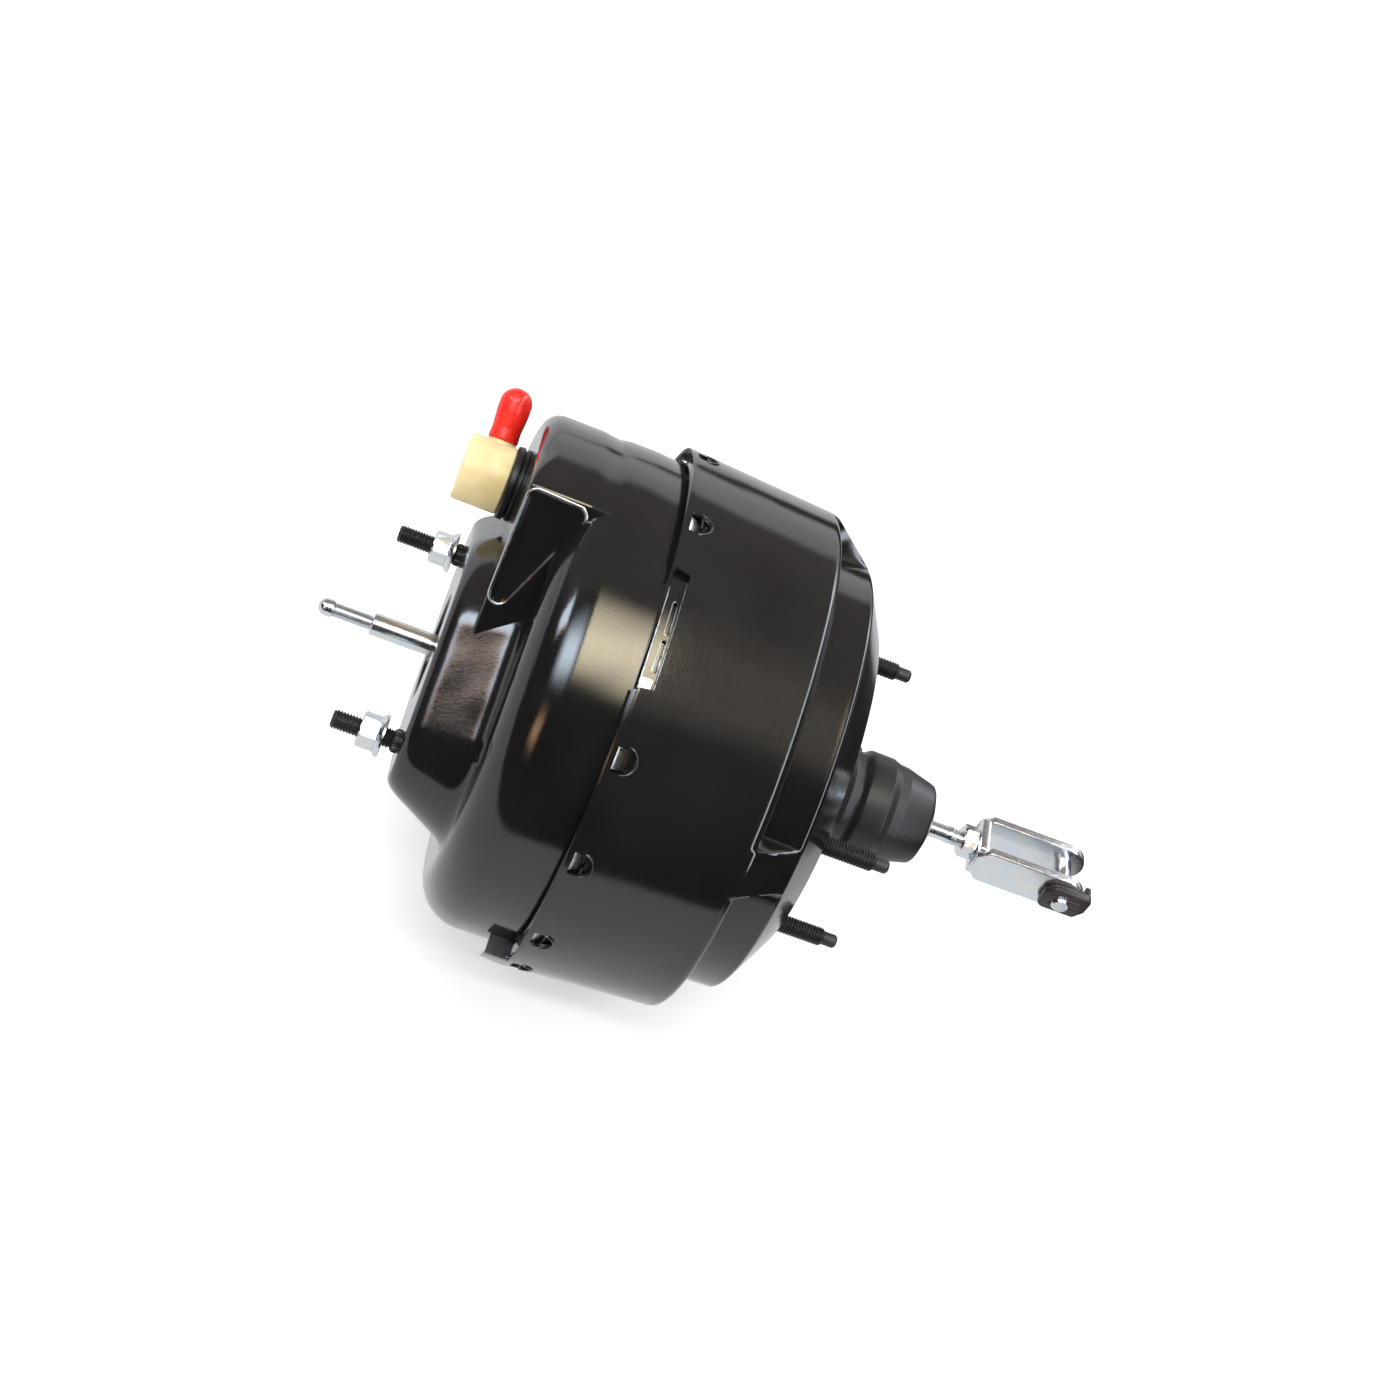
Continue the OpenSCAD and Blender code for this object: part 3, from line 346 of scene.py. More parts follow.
def thread(name, x0, x1, radius, pitch=1.25, cols=36, steps=10, depth=0.65):
    """A screw thread between x0 and x1: a round bar whose radius follows the helix, with tapered ends."""
    taper, taper_slope = 1.2, 0.8
    ridge_slope, root_flat = 1.35, 0.12
    turns = abs(x1 - x0) / pitch
    count = int(turns * steps) + 1
    verts = [(x0, 0.0, 0.0)]
    for x in np.linspace(x0, x1, count):
        edge = min(abs(x - x0), abs(x - x1))
        limit = radius - max(0.0, taper - edge) * taper_slope
        for c in range(cols):
            phase = ((x - x0) / pitch + c / cols) % 1.0
            ridge = 1 - abs(2 * phase - 1)
            groove = min(1.0, max(0.0, ridge * ridge_slope - root_flat))
            r = min(radius - depth + depth * groove, limit)
            verts.append(around(x, r, 2 * math.pi * c / cols))
    verts.append((x1, 0.0, 0.0))
    faces = [[v + 1 for v in f] for f in quads(count, cols)]
    faces += [[0, 1 + (c + 1) % cols, 1 + c] for c in range(cols)]
    last = 1 + (count - 1) * cols
    faces += [[len(verts) - 1, last + c, last + (c + 1) % cols] for c in range(cols)]
    return make(name, verts, faces, 70)


def join(name, parts):
    """One object from several."""
    bpy.ops.object.select_all(action="DESELECT")
    for part in parts:
        part.select_set(True)
    bpy.context.view_layer.objects.active = parts[0]
    bpy.ops.object.join()
    parts[0].name = name
    parts[0].data.name = name
    return parts[0]


def shift(obj, y, z=0.0):
    """Moves a mesh's points away from the axis, in millimetres."""
    obj.data.transform(Matrix.Translation((0, y * MM, z * MM)))
    return obj


def clock(obj, angle):
    """Turns a mesh made at +Y to its clock angle."""
    obj.data.transform(Matrix.Rotation(math.radians(angle), 4, "X"))
    return obj


def along_y(obj, x, y=0.0):
    """Turns a mesh made along X to lie along Y, and moves it, in millimetres."""
    obj.data.transform(Matrix.Translation((x * MM, y * MM, 0)) @ Matrix.Rotation(math.pi / 2, 4, "Z"))
    return obj


def smoothstep(low, high, value):
    """Runs smoothly from 0 to 1 while a value runs from low to high."""
    t = np.clip((value - low) / (high - low), 0, 1)
    return t * t * (3 - 2 * t)


def smooth_max(a, b, width):
    """The larger of two values, with a soft bend where they are close."""
    h = np.maximum(width - np.abs(a - b), 0) / width
    return np.maximum(a, b) + h * h * width / 4


# Materials

MATERIALS = {}


def node(tree, kind, sockets=None, **settings):
    """Adds a shader node. Each socket named takes a link from another socket, or a value."""
    made = tree.nodes.new("ShaderNode" + kind)
    for key, value in settings.items():
        setattr(made, key, value)
    for key, value in (sockets or {}).items():
        if isinstance(value, bpy.types.NodeSocket):
            tree.links.new(value, made.inputs[key])
        else:
            made.inputs[key].default_value = value
    return made.outputs


def noise(tree, place, scale, detail, roughness=0.55, stretch=None):
    """A noise texture with this many waves in a millimetre."""
    if stretch:
        place = node(tree, "Mapping", {"Vector": place, "Scale": stretch})["Vector"]
    sockets = {"Vector": place, "Scale": scale / MM, "Detail": detail, "Roughness": roughness}
    return node(tree, "TexNoise", sockets)["Fac"]


def ramp(tree, value, low, high, at=(0.35, 0.65)):
    """Runs between two colours over part of a value's range."""
    made = tree.nodes.new("ShaderNodeValToRGB")
    stops = made.color_ramp.elements
    stops[0].position, stops[1].position = at
    stops[0].color, stops[1].color = (*low, 1), (*high, 1)
    tree.links.new(value, made.inputs["Fac"])
    return made.outputs["Color"]


def grey(value):
    """A colour of three equal parts."""
    return (value, value, value)


def tinted(colour, factors):
    """A colour with each part times its factor."""
    return tuple(c * f for c, f in zip(colour, factors))


def coat(name, colour, roughness, base, gloss, bumps, **sockets):
    """Makes a slot's material, whose colour, roughness and bumps follow noises.

    base is a noise, two colours and, where given, the part of the noise's range. gloss is a noise and two
    roughnesses. bumps are noises with their depth in millimetres and strength. A noise is what noise() takes.
    """
    mat = MATERIALS[name] = bpy.data.materials.new(name)
    mat.use_nodes = True
    tree = mat.node_tree
    main = tree.nodes["Principled BSDF"].inputs
    main["Base Color"].default_value = (*colour, 1)
    main["Roughness"].default_value = roughness
    for key, value in sockets.items():
        main[key.replace("_", " ")].default_value = value
    place = node(tree, "TexCoord")["Object"]
    fields = {}

    def field(settings):
        """The noise with these settings, made once."""
        if settings not in fields:
            fields[settings] = noise(tree, place, *settings)
        return fields[settings]

    tree.links.new(ramp(tree, field(base[0]), *base[1:]), main["Base Color"])
    if gloss:
        tree.links.new(ramp(tree, field(gloss[0]), grey(gloss[1]), grey(gloss[2])), main["Roughness"])
    normal = None
    for settings, depth, strength in bumps:
        height = {"Height": field(settings), "Distance": depth * MM, "Strength": strength}
        if normal:
            height["Normal"] = normal
        normal = node(tree, "Bump", height)["Normal"]
    tree.links.new(normal, main["Normal"])


def zinc(name, colour, roughness):
    """Bright zinc plate with a faint blue and warm cast, drawn grain and small pits."""
    grain = (1.4, 3, 0.55, (0.25, 1, 1))
    cast = ((0.12, 3), tinted(colour, (0.90, 0.95, 1.0)), tinted(colour, (1.0, 0.985, 0.95)))
    gloss = (grain, roughness * 0.75, roughness * 1.35)
    coat(name, colour, roughness, cast, gloss, [(grain, 0.02, 0.25)], Metallic=1.0)


def rubber(name, colour, roughness):
    """Moulded rubber or plastic with a faint bloom and a fine skin."""
    skin = (1.8, 2)
    bloom = ((0.07, 4), colour, tinted(colour, grey(2.1)))
    gloss = (skin, roughness * 0.85, roughness * 1.2)
    coat(name, colour, roughness, bloom, gloss, [(skin, 0.03, 0.3)], Specular_IOR_Level=0.45)


# Gloss baked enamel with slight waves, orange peel and faint dust
coat(
    "black_enamel", (0.008, 0.0078, 0.0076), 0.1,
    ((0.02, 3), (0.006, 0.0058, 0.0056), (0.011, 0.0107, 0.0103)), ((1.5, 2), 0.07, 0.15),
    [((0.035, 1), 0.45, 1.0), ((0.35, 2), 0.02, 0.3), ((1.2, 2, 0.7), 0.02, 0.8)], Specular_IOR_Level=0.75)
zinc("plated_steel", (0.58, 0.57, 0.53), 0.34)
zinc("zinc", (0.80, 0.81, 0.82), 0.2)
zinc("spring_steel", (0.34, 0.34, 0.35), 0.36)
# Phosphate on threads, with bare glints on the crests
WEAR = (1.1, 4)
coat(
    "black_phosphate", (0.012, 0.012, 0.013), 0.42,
    (WEAR, (0.007, 0.007, 0.008), (0.035, 0.034, 0.034), (0.45, 0.75)), (WEAR, 0.5, 0.28),
    [(WEAR, 0.03, 0.3)], Specular_IOR_Level=0.6)
rubber("rubber", (0.009, 0.0088, 0.009), 0.36)
rubber("phenolic", (0.045, 0.038, 0.033), 0.55)
# Natural nylon, a little see-through
NYLON_SKIN = (0.9, 2)
coat(
    "nylon", (0.80, 0.66, 0.34), 0.38,
    ((0.09, 3), (0.76, 0.61, 0.30), (0.86, 0.73, 0.42)), (NYLON_SKIN, 0.34, 0.46),
    [(NYLON_SKIN, 0.03, 0.2)],
    Subsurface_Weight=0.35, Subsurface_Scale=0.004, Subsurface_Radius=(1.0, 0.75, 0.35))
# Dipped vinyl with slight waves
VINYL_SKIN = (0.7, 2)
coat(
    "red_vinyl", (0.78, 0.020, 0.012), 0.28,
    ((0.12, 2), (0.68, 0.014, 0.010), (0.86, 0.028, 0.016)), (VINYL_SKIN, 0.22, 0.34),
    [(VINYL_SKIN, 0.05, 0.25)], Subsurface_Weight=0.15, Subsurface_Scale=0.002)
rubber("clip_plastic", (0.022, 0.017, 0.016), 0.3)
FIBRE = (1.2, 5)
coat(
    "filter_felt", (0.30, 0.28, 0.23), 0.95,
    (FIBRE, (0.20, 0.18, 0.15), (0.42, 0.40, 0.34)), None, [(FIBRE, 0.3, 0.8)])


def dress(obj, slot):
    """Gives an object a slot's material."""
    obj.data.materials.clear()
    obj.data.materials.append(MATERIALS[slot])


def put(obj, body, slot, *nodes):
    """Rides on a body, takes a slot's material and stands for CAD nodes."""
    dress(obj, slot)
    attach(obj, body)
    if nodes:
        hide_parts(*nodes)


# Shells

def columns(points):
    """A profile's places along the axis and its radii, each as one column."""
    points = np.array(points)
    return points[:, :1], points[:, 1:]


def shell_from_rows(name, cols, parts, lip_rows=0):
    """A closed sheet from its outer surface, with a thinner wall along its first rows.

    Each part has x and r. Both have a row for each place along the profile, and a column for each clock
    angle or one for all.
    """
    x, r = (np.vstack([np.broadcast_to(part[k], (len(part[k]), cols)) for part in parts]) for k in (0, 1))
    wall = np.where(np.arange(len(x)) < lip_rows, LIP_WALL, WALL)[:, None]
    dx, dr = np.gradient(x, axis=0), np.gradient(r, axis=0)
    length = np.hypot(dx, dr) + 1e-9
    inner_x, inner_r = x + dr / length * wall, r - dx / length * wall
    all_x, all_r = np.vstack([x, inner_x[::-1]]), np.vstack([r, inner_r[::-1]])
    turn = np.linspace(0, 2 * math.pi, cols, endpoint=False)
    verts = np.stack([all_x, all_r * np.cos(turn), all_r * np.sin(turn)], -1).reshape(-1, 3)
    return make(name, verts, quads(2 * len(x), cols, wrap_rows=True), 50)


def spaced(line, gap):
    """Adds points to a line until none is further than gap from the next."""
    out = [line[0]]
    for a, b in zip(line, line[1:]):
        step = (b[0] - a[0], b[1] - a[1])
        count = max(1, int(math.hypot(*step) / gap))
        out += [(a[0] + step[0] * i / count, a[1] + step[1] * i / count) for i in range(1, count + 1)]
    return out


def resampled(line, count):
    """The same line with count points at even distances."""
    line = np.array(line, float)
    along = np.concatenate([[0], np.cumsum(np.linalg.norm(np.diff(line, axis=0), axis=1))])
    at = np.linspace(0, along[-1], count)
    return np.stack([np.interp(at, along, line[:, k]) for k in (0, 1)], 1)


def angle_gap(angles, centre):
    """Distance in degrees from a clock angle."""
    return np.abs((angles - centre + 180) % 360 - 180)


def past_range(angles, limits):
    """Degrees beyond the nearer end of a range of clock angles, below zero inside it."""
    return angle_gap(angles, sum(limits) / 2) - (limits[1] - limits[0]) / 2


def rear_shell():
    """The drum with its notch and ear, the belt with its pads, and the rear face with its neck."""
    cols = 900
    angles = np.arange(cols) * 360 / cols
    pad = np.zeros(cols)
    for centre in PADS:
        away = angle_gap(angles, centre)
        pad = np.maximum(pad, 1 - smoothstep(PAD_SPAN / 2 - 0.4, PAD_SPAN / 2 + 0.9, away))
    cut_soft, ear_drop, notch_rows = 0.45, 0.25, 1 / 6
    notch = 1 - smoothstep(0, cut_soft, past_range(angles, NOTCH))
    ear = 1 - smoothstep(0, cut_soft, past_range(angles, EAR))

    drum_end, drum_end_r = SHOULDER_X - 5, DRUM_R + 0.3
    drum = np.array(spaced([(MOUTH_X, MOUTH_R), (drum_end, drum_end_r)], 2.5))
    edge = np.array([(MOUTH_X, MOUTH_R - 0.5), (MOUTH_X + 0.1, MOUTH_R - 0.15), (MOUTH_X + 0.45, MOUTH_R)])
    edge_rows = len(edge)
    drum = np.vstack([edge, drum[1:]])
    drum_x = np.repeat(drum[:, :1], cols, 1)
    share = (drum_x - MOUTH_X) / (drum_end - MOUTH_X)
    drum_x = drum_x + (NOTCH_X - MOUTH_X) * notch * np.clip(1 - share / notch_rows, 0, 1)
    drum_x[:edge_rows] += (EAR_X - MOUTH_X) * ear
    slope = (drum_end_r - MOUTH_R) / (drum_end - MOUTH_X)
    drum_r = MOUTH_R + slope * np.maximum(drum_x - MOUTH_X, 0)
    drum_r[:edge_rows] -= (MOUTH_R - drum[:edge_rows, 1:]) + ear_drop * ear

    def with_pads(plain, raised, count):
        """Rows along a plain line, which run along the raised one across the pads."""
        plain, raised = resampled(bent(plain), count), resampled(bent(raised), count)
        return [plain[:, k:k + 1] + (raised - plain)[:, k:k + 1] * pad for k in (0, 1)]

    start, stop = (SHOULDER_X - 4, DRUM_R + 0.24), BELT_X - 3
    step_foot = (SHOULDER_X - 0.6, BELT_R + 0.6, 2.6)
    belt = with_pads(
        [start, (SHOULDER_X, DRUM_R, 3.2), step_foot, (stop, BELT_R)],
        [start, (SHOULDER_X, DRUM_R, 3.6), (stop, BELT_R + 2.4)], 44)
    cone = [(BELT_X, BELT_R, 1.6), (BELT_X + 3, BELT_R - 5.1)]
    end = with_pads([(BELT_X - 2.6, BELT_R)] + cone, [(BELT_X - 2.6, BELT_R + 2.1)] + cone, 12)
    face = bent([(BELT_X + 4, BELT_R - 6.84), (0, FACE_R, 3.0), (0, NECK_R, 2.6), (NECK_X, NECK_R)])
    return shell_from_rows("rear_shell_skin", cols, [(drum_x, drum_r), belt, end, columns(face)], lip_rows=10)


def boss_distance(y, z):
    """Distance outside the boss outline: a round middle run out to two smaller ends."""
    slope = (BOSS_R - BOSS_END_R) / BOSS_END_Y
    flat = math.sqrt(1 - slope * slope)
    y, z = np.abs(y), np.abs(z)
    side = -slope * z + flat * y
    middle = np.hypot(y, z) - BOSS_R
    end = np.hypot(y - BOSS_END_Y, z) - BOSS_END_R
    tangent = flat * z + slope * y - BOSS_R
    return np.where(side < 0, middle, np.where(side > flat * BOSS_END_Y, end, tangent))


def front_height(r, angles):
    """Reach of the front shell in front of the rear face, over its disc."""
    turn = np.radians(angles)
    y, z = r * np.cos(turn), r * np.sin(turn)
    over = np.clip((r - (FRONT_R - LOWER_BEND)) / LOWER_BEND, 0, 1)
    lower = -LOWER_X - LOWER_BEND + LOWER_BEND * np.sqrt(1 - over * over)
    flank = -SEAT_X - boss_distance(y, z) / BOSS_SLOPE
    edge_bend, foot_bend = 7.0, 6.0
    boss = -smooth_max(-flank, SEAT_X, edge_bend)
    height = smooth_max(lower, boss, foot_bend)
    dimple = on_arc(0, DIMPLE_OFF, DIMPLE_CLOCK)
    away = np.hypot(y - dimple[1], z - dimple[2])
    return height - DIMPLE_DEPTH * (1 - smoothstep(DIMPLE_R - 1.2, DIMPLE_R + 0.4, away))


def sector_bulge(x, angles):
    """The drum's sector behind the platform stands a little proud, and fades towards the joint."""
    half_start, half_growth, growth_length = 49, 8, 22
    half = half_start + half_growth * np.clip((x - LOWER_X - LOWER_BEND) / growth_length, 0, 1)
    fade, fade_from, fade_to = 0.7, -112, -96
    depth = 1 - fade * smoothstep(fade_from, fade_to, x)
    inside = 1 - smoothstep(half - 1.5, half + 3.0, angle_gap(angles, VALVE_CLOCK))
    return (PLATFORM_R - FRONT_R) * depth * inside


def front_shell():
    """The master cylinder's cup, the disc with its boss, and the drum's wall with its band and flange."""
    cols = 720
    angles = (np.arange(cols) * 360 / cols)[None, :]
    cup_edge = (SEAT_X, PILOT_R + 3)
    cup = [(PILOT_FLOOR_X, ROD_HOLE_R), (PILOT_FLOOR_X, PILOT_R, 2), (SEAT_X, PILOT_R, 1.2), cup_edge]
    flat_r = np.arange(PILOT_R + 4, FRONT_R - LOWER_BEND, 0.8)
    bend_r = FRONT_R - LOWER_BEND + LOWER_BEND * np.sin(np.linspace(0, math.pi / 2, 26))
    disc_r = np.repeat(np.concatenate([flat_r, bend_r])[:, None], cols, 1)
    disc_x = -front_height(disc_r, angles)
    rim = disc_x[-1:]
    share = np.concatenate([np.linspace(0, 0.78, 16)[1:], np.linspace(0.79, 0.93, 12), [0.97, 1.0]])[:, None]
    wall_x = rim + (FLANGE_X - 1.5 - rim) * share
    step = BAND_STEP * smoothstep(BAND_X - 1.8, BAND_X + 0.2, wall_x)
    wall_r = FRONT_R + np.maximum(sector_bulge(wall_x, angles), step)
    disc_r = disc_r + sector_bulge(disc_x, angles) * smoothstep(FRONT_R - 9, FRONT_R, disc_r)
    band_r = FRONT_R + BAND_STEP
    lip = [(FLANGE_X - 0.4, band_r + 0.2), (FLANGE_X, band_r + 0.7), (FLANGE_X, FLANGE_R)]
    parts = [columns(bent(cup, 4)), (disc_x, disc_r), (wall_x, wall_r), columns(lip)]
    return shell_from_rows("front_shell_skin", cols, parts)


def triangle_distance(u, x):
    """Distance from the rounded triangle of the pressed pocket in the platform's side, negative inside it."""
    corners = [np.array(c) for c in POCKET]
    inner = []
    for before, c, after in zip(corners[-1:] + corners, corners, corners[1:] + corners):
        one, two = (before - c) / np.linalg.norm(before - c), (after - c) / np.linalg.norm(after - c)
        half = math.acos(float(one @ two)) / 2
        inner.append(c + (one + two) / np.linalg.norm(one + two) * POCKET_BEND / math.sin(half))
    away = np.full(u.shape, np.inf)
    inside = np.ones(u.shape, bool)
    for a, b in zip(inner, inner[1:] + inner[:1]):
        way = b - a
        along = np.clip(((u - a[0]) * way[0] + (x - a[1]) * way[1]) / (way @ way), 0, 1)
        away = np.minimum(away, np.hypot(u - a[0] - along * way[0], x - a[1] - along * way[1]))
        inside &= way[0] * (x - a[1]) > way[1] * (u - a[0])
    return np.where(inside, -away, away) - POCKET_BEND


def platform():
    """The raised platform: side walls with a tight edge, and a wide bend where it follows the drum."""
    slant = 1 + PLATFORM_FLARE**2
    u_hit = (math.sqrt(slant * PLATFORM_R**2 - PLATFORM_HALF**2) - PLATFORM_HALF * PLATFORM_FLARE) / slant
    half_hit = PLATFORM_HALF + PLATFORM_FLARE * u_hit
    end = math.atan2(half_hit, u_hit)
    rim = [(PLATFORM_R * math.cos(a), PLATFORM_R * math.sin(a)) for a in np.linspace(end, -end, 90)[1:-1]]
    low, low_bend, top_bend = 2, 3, 2.4
    half_low = PLATFORM_HALF + low * PLATFORM_FLARE
    corners = [(u_hit, -half_hit, top_bend), (low, -half_low, low_bend)]
    corners += [(low, half_low, low_bend), (u_hit, half_hit, top_bend)]
    outline = bent(corners + rim, 8, closed=True)
    ring = np.array(spaced(outline + [outline[0]], 0.55)[:-1])
    at_rim = smoothstep(PLATFORM_R - 5, PLATFORM_R - 0.5, np.hypot(ring[:, 0], ring[:, 1]))
    past_corner = np.degrees(end - np.abs(np.arctan2(ring[:, 1], ring[:, 0])))
    tight, wider = 1.6, 6.4
    bend = tight + wider * at_rim * smoothstep(1.5, 15, past_corner)
    ahead, behind = np.roll(ring, -1, 0), np.roll(ring, 1, 0)
    way = (ahead - behind) / np.linalg.norm(ahead - behind, axis=1)[:, None]
    inward = np.stack([-way[:, 1], way[:, 0]], 1)
    if polygon_area(ring) < 0:
        inward = -inward

    foot = LOWER_X + LOWER_BEND
    wall_rows, bend_rows = 72, 10
    levels = [(share, None) for share in np.linspace(0, 1, wall_rows)[:-1]]
    levels += [(1.0, i / bend_rows * math.pi / 2) for i in range(bend_rows + 1)]
    on_side = smoothstep(20, 30, np.abs(ring[:, 1]))
    press_soft, sink, sink_from, sink_to = 1.6, 0.9, -134, -125
    verts = []
    for share, turn in levels:
        shrink = bend * (1 - math.cos(turn)) if turn else 0 * bend
        x = PLATFORM_X + bend * (1 - math.sin(turn or 0))
        x = foot + (x - foot) * share
        press = -POCKET_DEPTH * smoothstep(0.0, press_soft, -triangle_distance(ring[:, 0], x))
        dive = sink * smoothstep(sink_from, sink_to, x) * at_rim
        flat = ring + inward * (shrink + dive - press * on_side)[:, None]
        verts += [(xi, u, s) for xi, (u, s) in zip(x, flat)]
    cols = len(ring)
    flat = ring + inward * (bend + 0.5)[:, None]
    verts += [(PLATFORM_X, u, s) for u, s in flat]
    centre = len(verts)
    verts.append((PLATFORM_X, 0.6 * math.sqrt(PLATFORM_R**2 - 60**2), 0.0))
    top = len(levels) * cols
    faces = quads(len(levels) + 1, cols) + [(top + c, top + (c + 1) % cols, centre) for c in range(cols)]
    return clock(make("platform_skin", verts, faces, 60), VALVE_CLOCK)


def pocket_highlight_bead():
    """Zinc beads round the pressed pocket, on both side walls: a painted highlight, bright metal that stands
    for the light on the pocket's rounded edges.
    """
    outline = bent([(*c, POCKET_BEND) for c in POCKET], 8, closed=True)
    line = resampled(spaced(outline + [outline[0]], 1.0), 160)[:-1]
    sunk, radius = 0.2, 0.68
    highlight_beads = []
    for side in (1, -1):
        path = [(x, u, side * (PLATFORM_HALF + PLATFORM_FLARE * u - sunk)) for u, x in line]
        highlight_beads.append(clock(tube("rim", path, radius, closed=True), VALVE_CLOCK))
    return join("pocket_highlight_beads", highlight_beads)


def ear_shade_web():
    """The folded side of the stop ear, down to the front shell, in dark rough phosphate: painted shade that
    keeps the ear black.
    """
    low, high, thick = 106.5, MOUTH_R - 0.1, 0.9
    verts = []
    for x, turn in ((EAR_X, EAR[0] - 0.8), (MOUTH_X + 0.3, EAR[0] - 0.2)):
        for a in (turn, turn + thick):
            verts += [on_arc(x, low, a), on_arc(x, high, a)]
    faces = [(0, 1, 3, 2), (4, 5, 7, 6), (0, 1, 5, 4), (2, 3, 7, 6), (0, 2, 6, 4), (1, 3, 7, 5)]
    return make("ear_shade_web", verts, faces, 30)


def arc_plate(name, x0, x1, a0, a1, outer_r, wall):
    """A strip that follows the drum between two clock angles."""
    turns = np.linspace(a0, a1, max(2, int((a1 - a0) / 0.8) + 1))
    ring = [(x0, outer_r - wall), (x0, outer_r), (x1, outer_r), (x1, outer_r - wall)]
    verts = [on_arc(x, r, a) for a in turns for x, r in ring]
    last = 4 * (len(turns) - 1)
    faces = quads(len(turns), 4) + [[3, 2, 1, 0], [last, last + 1, last + 2, last + 3]]
    return make(name, verts, faces, 30)


def notch_band():
    """The strip that shows in the notch, with two slots along it."""
    r, wall = 110.2, 1.0
    low, high = STRIP
    front, rear = (STRIP_FRONT, SLOT_X[0]), (SLOT_X[1], STRIP_BACK)
    strips = [arc_plate("strip", *span, low, high, r, wall) for span in (front, rear)]
    bars = ((low, SLOTS[0][0]), (SLOTS[0][1], SLOTS[1][0]), (SLOTS[1][1], high))
    bridges = [arc_plate("bridge", *SLOT_X, a, b, r, wall) for a, b in bars]
    return join("notch_band", strips + bridges)


def notch_trim():
    """Plated beads round the two slots and along the strip's front and back, and a plated plate at the strip's
    lower end.
    """
    r = 110.3
    front, back = SLOT_X
    parts = []
    for low, high in SLOTS:
        loop = [(front, low, 0.6), (front, high, 0.6), (back, high, 0.6), (back, low, 0.6)]
        loop = bent(loop, 4, closed=True)
        loop = spaced(loop + [loop[0]], 0.7)[:-1]
        parts.append(tube("loop", [on_arc(x, r, a) for x, a in loop], 0.22, 6, closed=True))
    for x, a0 in ((STRIP_FRONT, 106), (STRIP_BACK - 0.4, 104)):
        parts.append(tube("bead", [on_arc(x, r, a) for a in np.linspace(a0, 128.4, 40)], 0.26, 6))
    parts.append(arc_plate("end", -96.2, -91.6, 125.6, 128.6, r + 0.15, 0.6))
    return join("notch_trim", parts)


def window_outline():
    """The D of a lance window, seen from outside: flat side to the front."""
    front, length, half = MOUTH_X + 2.5, 8.5, 5.25
    points = [(front, -half), (front, half)]
    bend = length - half
    turns = np.linspace(0.1, math.pi - 0.1, 18)
    points += [(front + bend + half * math.sin(a), half * math.cos(a)) for a in turns]
    return points


def lance_cutter(angle):
    """The block that cuts one window."""
    outline = window_outline()
    verts = [(x, level, s) for level in (MOUTH_R - 5, MOUTH_R + 5) for x, s in outline]
    faces = quads(2, len(outline)) + ends(2, len(outline))
    return clock(make("cutter", verts, faces), angle)


def cut_windows(shell):
    """Cuts every lance window through the rear shell."""
    cutter = join("lance_cutters", [lance_cutter(a) for a in LANCES])
    tool = shell.modifiers.new("windows", "BOOLEAN")
    tool.operation, tool.solver, tool.object = "DIFFERENCE", "EXACT", cutter
    bpy.context.view_layer.objects.active = shell
    bpy.ops.object.modifier_apply(modifier=tool.name)
    bpy.data.objects.remove(cutter)
    smooth_shading(shell, 50)


def lance(angle):
    """The tongue bent in behind a window's front edge, and the pressed lip round the window."""
    skin = MOUTH_R - 0.9
    line = [(MOUTH_X + 1.6, skin), (MOUTH_X + 3.2, skin - 0.2), (MOUTH_X + 5.5, skin - 2.0)]
    line.append((FLANGE_X, skin - 4.6))
    half, thick, crown = 4.4, 1.3, 0.03
    rows, half_cols = 9, 7
    verts = []
    for x, level in resampled(line, rows):
        for s in np.linspace(-half, half, half_cols):
            verts.append((x, level - crown * s * s, s))
        for s in np.linspace(half, -half, half_cols):
            verts.append((x, level - thick - crown * s * s, s))
    tongue = make("tongue", verts, quads(rows, 2 * half_cols) + ends(rows, 2 * half_cols), 40)
    spread, drum_slope, lip_r = 1.05, 0.06, 0.55
    rim = [(x, s * spread) for x, s in window_outline() if x > MOUTH_X + 4]
    lip_path = []
    for x, s in rim:
        level = math.sqrt((MOUTH_R - (x - MOUTH_X) * drum_slope) ** 2 - s ** 2)
        lip_path.append((x + 0.25, level + 0.05, s))
    return clock(tongue, angle), clock(tube("lip", lip_path, lip_r), angle)


# Studs, nuts and rods

def nut(name, back, high, flats, hole, flange_r=0.0, flange_t=0.0):
    """A hexagon nut with chamfered corners, and a flange where it has one. It faces -X."""
    across = flats / 2
    corners = across / math.cos(math.radians(30))
    turns = [2 * math.pi * k / 144 for k in range(144)]
    verts, rows = [], []

    def ring(x, limit, round_off=0.0):
        """A hexagon's outline within a radius. Its corners lean back by a share of what they stick out."""
        rows.append(len(verts))
        for a in turns:
            hexagon = across / math.cos((a + math.pi / 6) % (math.pi / 3) - math.pi / 6)
            lean = max(0.0, hexagon - across) * round_off
            verts.append(around(x + lean, min(hexagon, limit), a))

    front = back - high
    chamfer, lean_back = 0.25, 0.55
    ring(front, hole)
    ring(front, across - 0.5)
    ring(front, across - 0.1, lean_back)
    ring(front + chamfer, corners, lean_back)
    ring(back - flange_t - (1.4 if flange_r else chamfer), corners, 0.0 if flange_r else -lean_back)
    if flange_r:
        foot = back - flange_t
        for x, r in (
            (foot - 1.1, across + 1.0), (foot, flange_r - 0.5), (back - flange_t * 0.6, flange_r),
            (back - 0.2, flange_r), (back, flange_r - 0.3),
        ):
            rows.append(len(verts))
            verts += [around(x, r, a) for a in turns]
    else:
        ring(back, across - 0.1, -lean_back)
        ring(back, across - 0.5)
    ring(back, hole)
    return make(name, verts, quads(len(rows), len(turns), wrap_rows=True), 28)


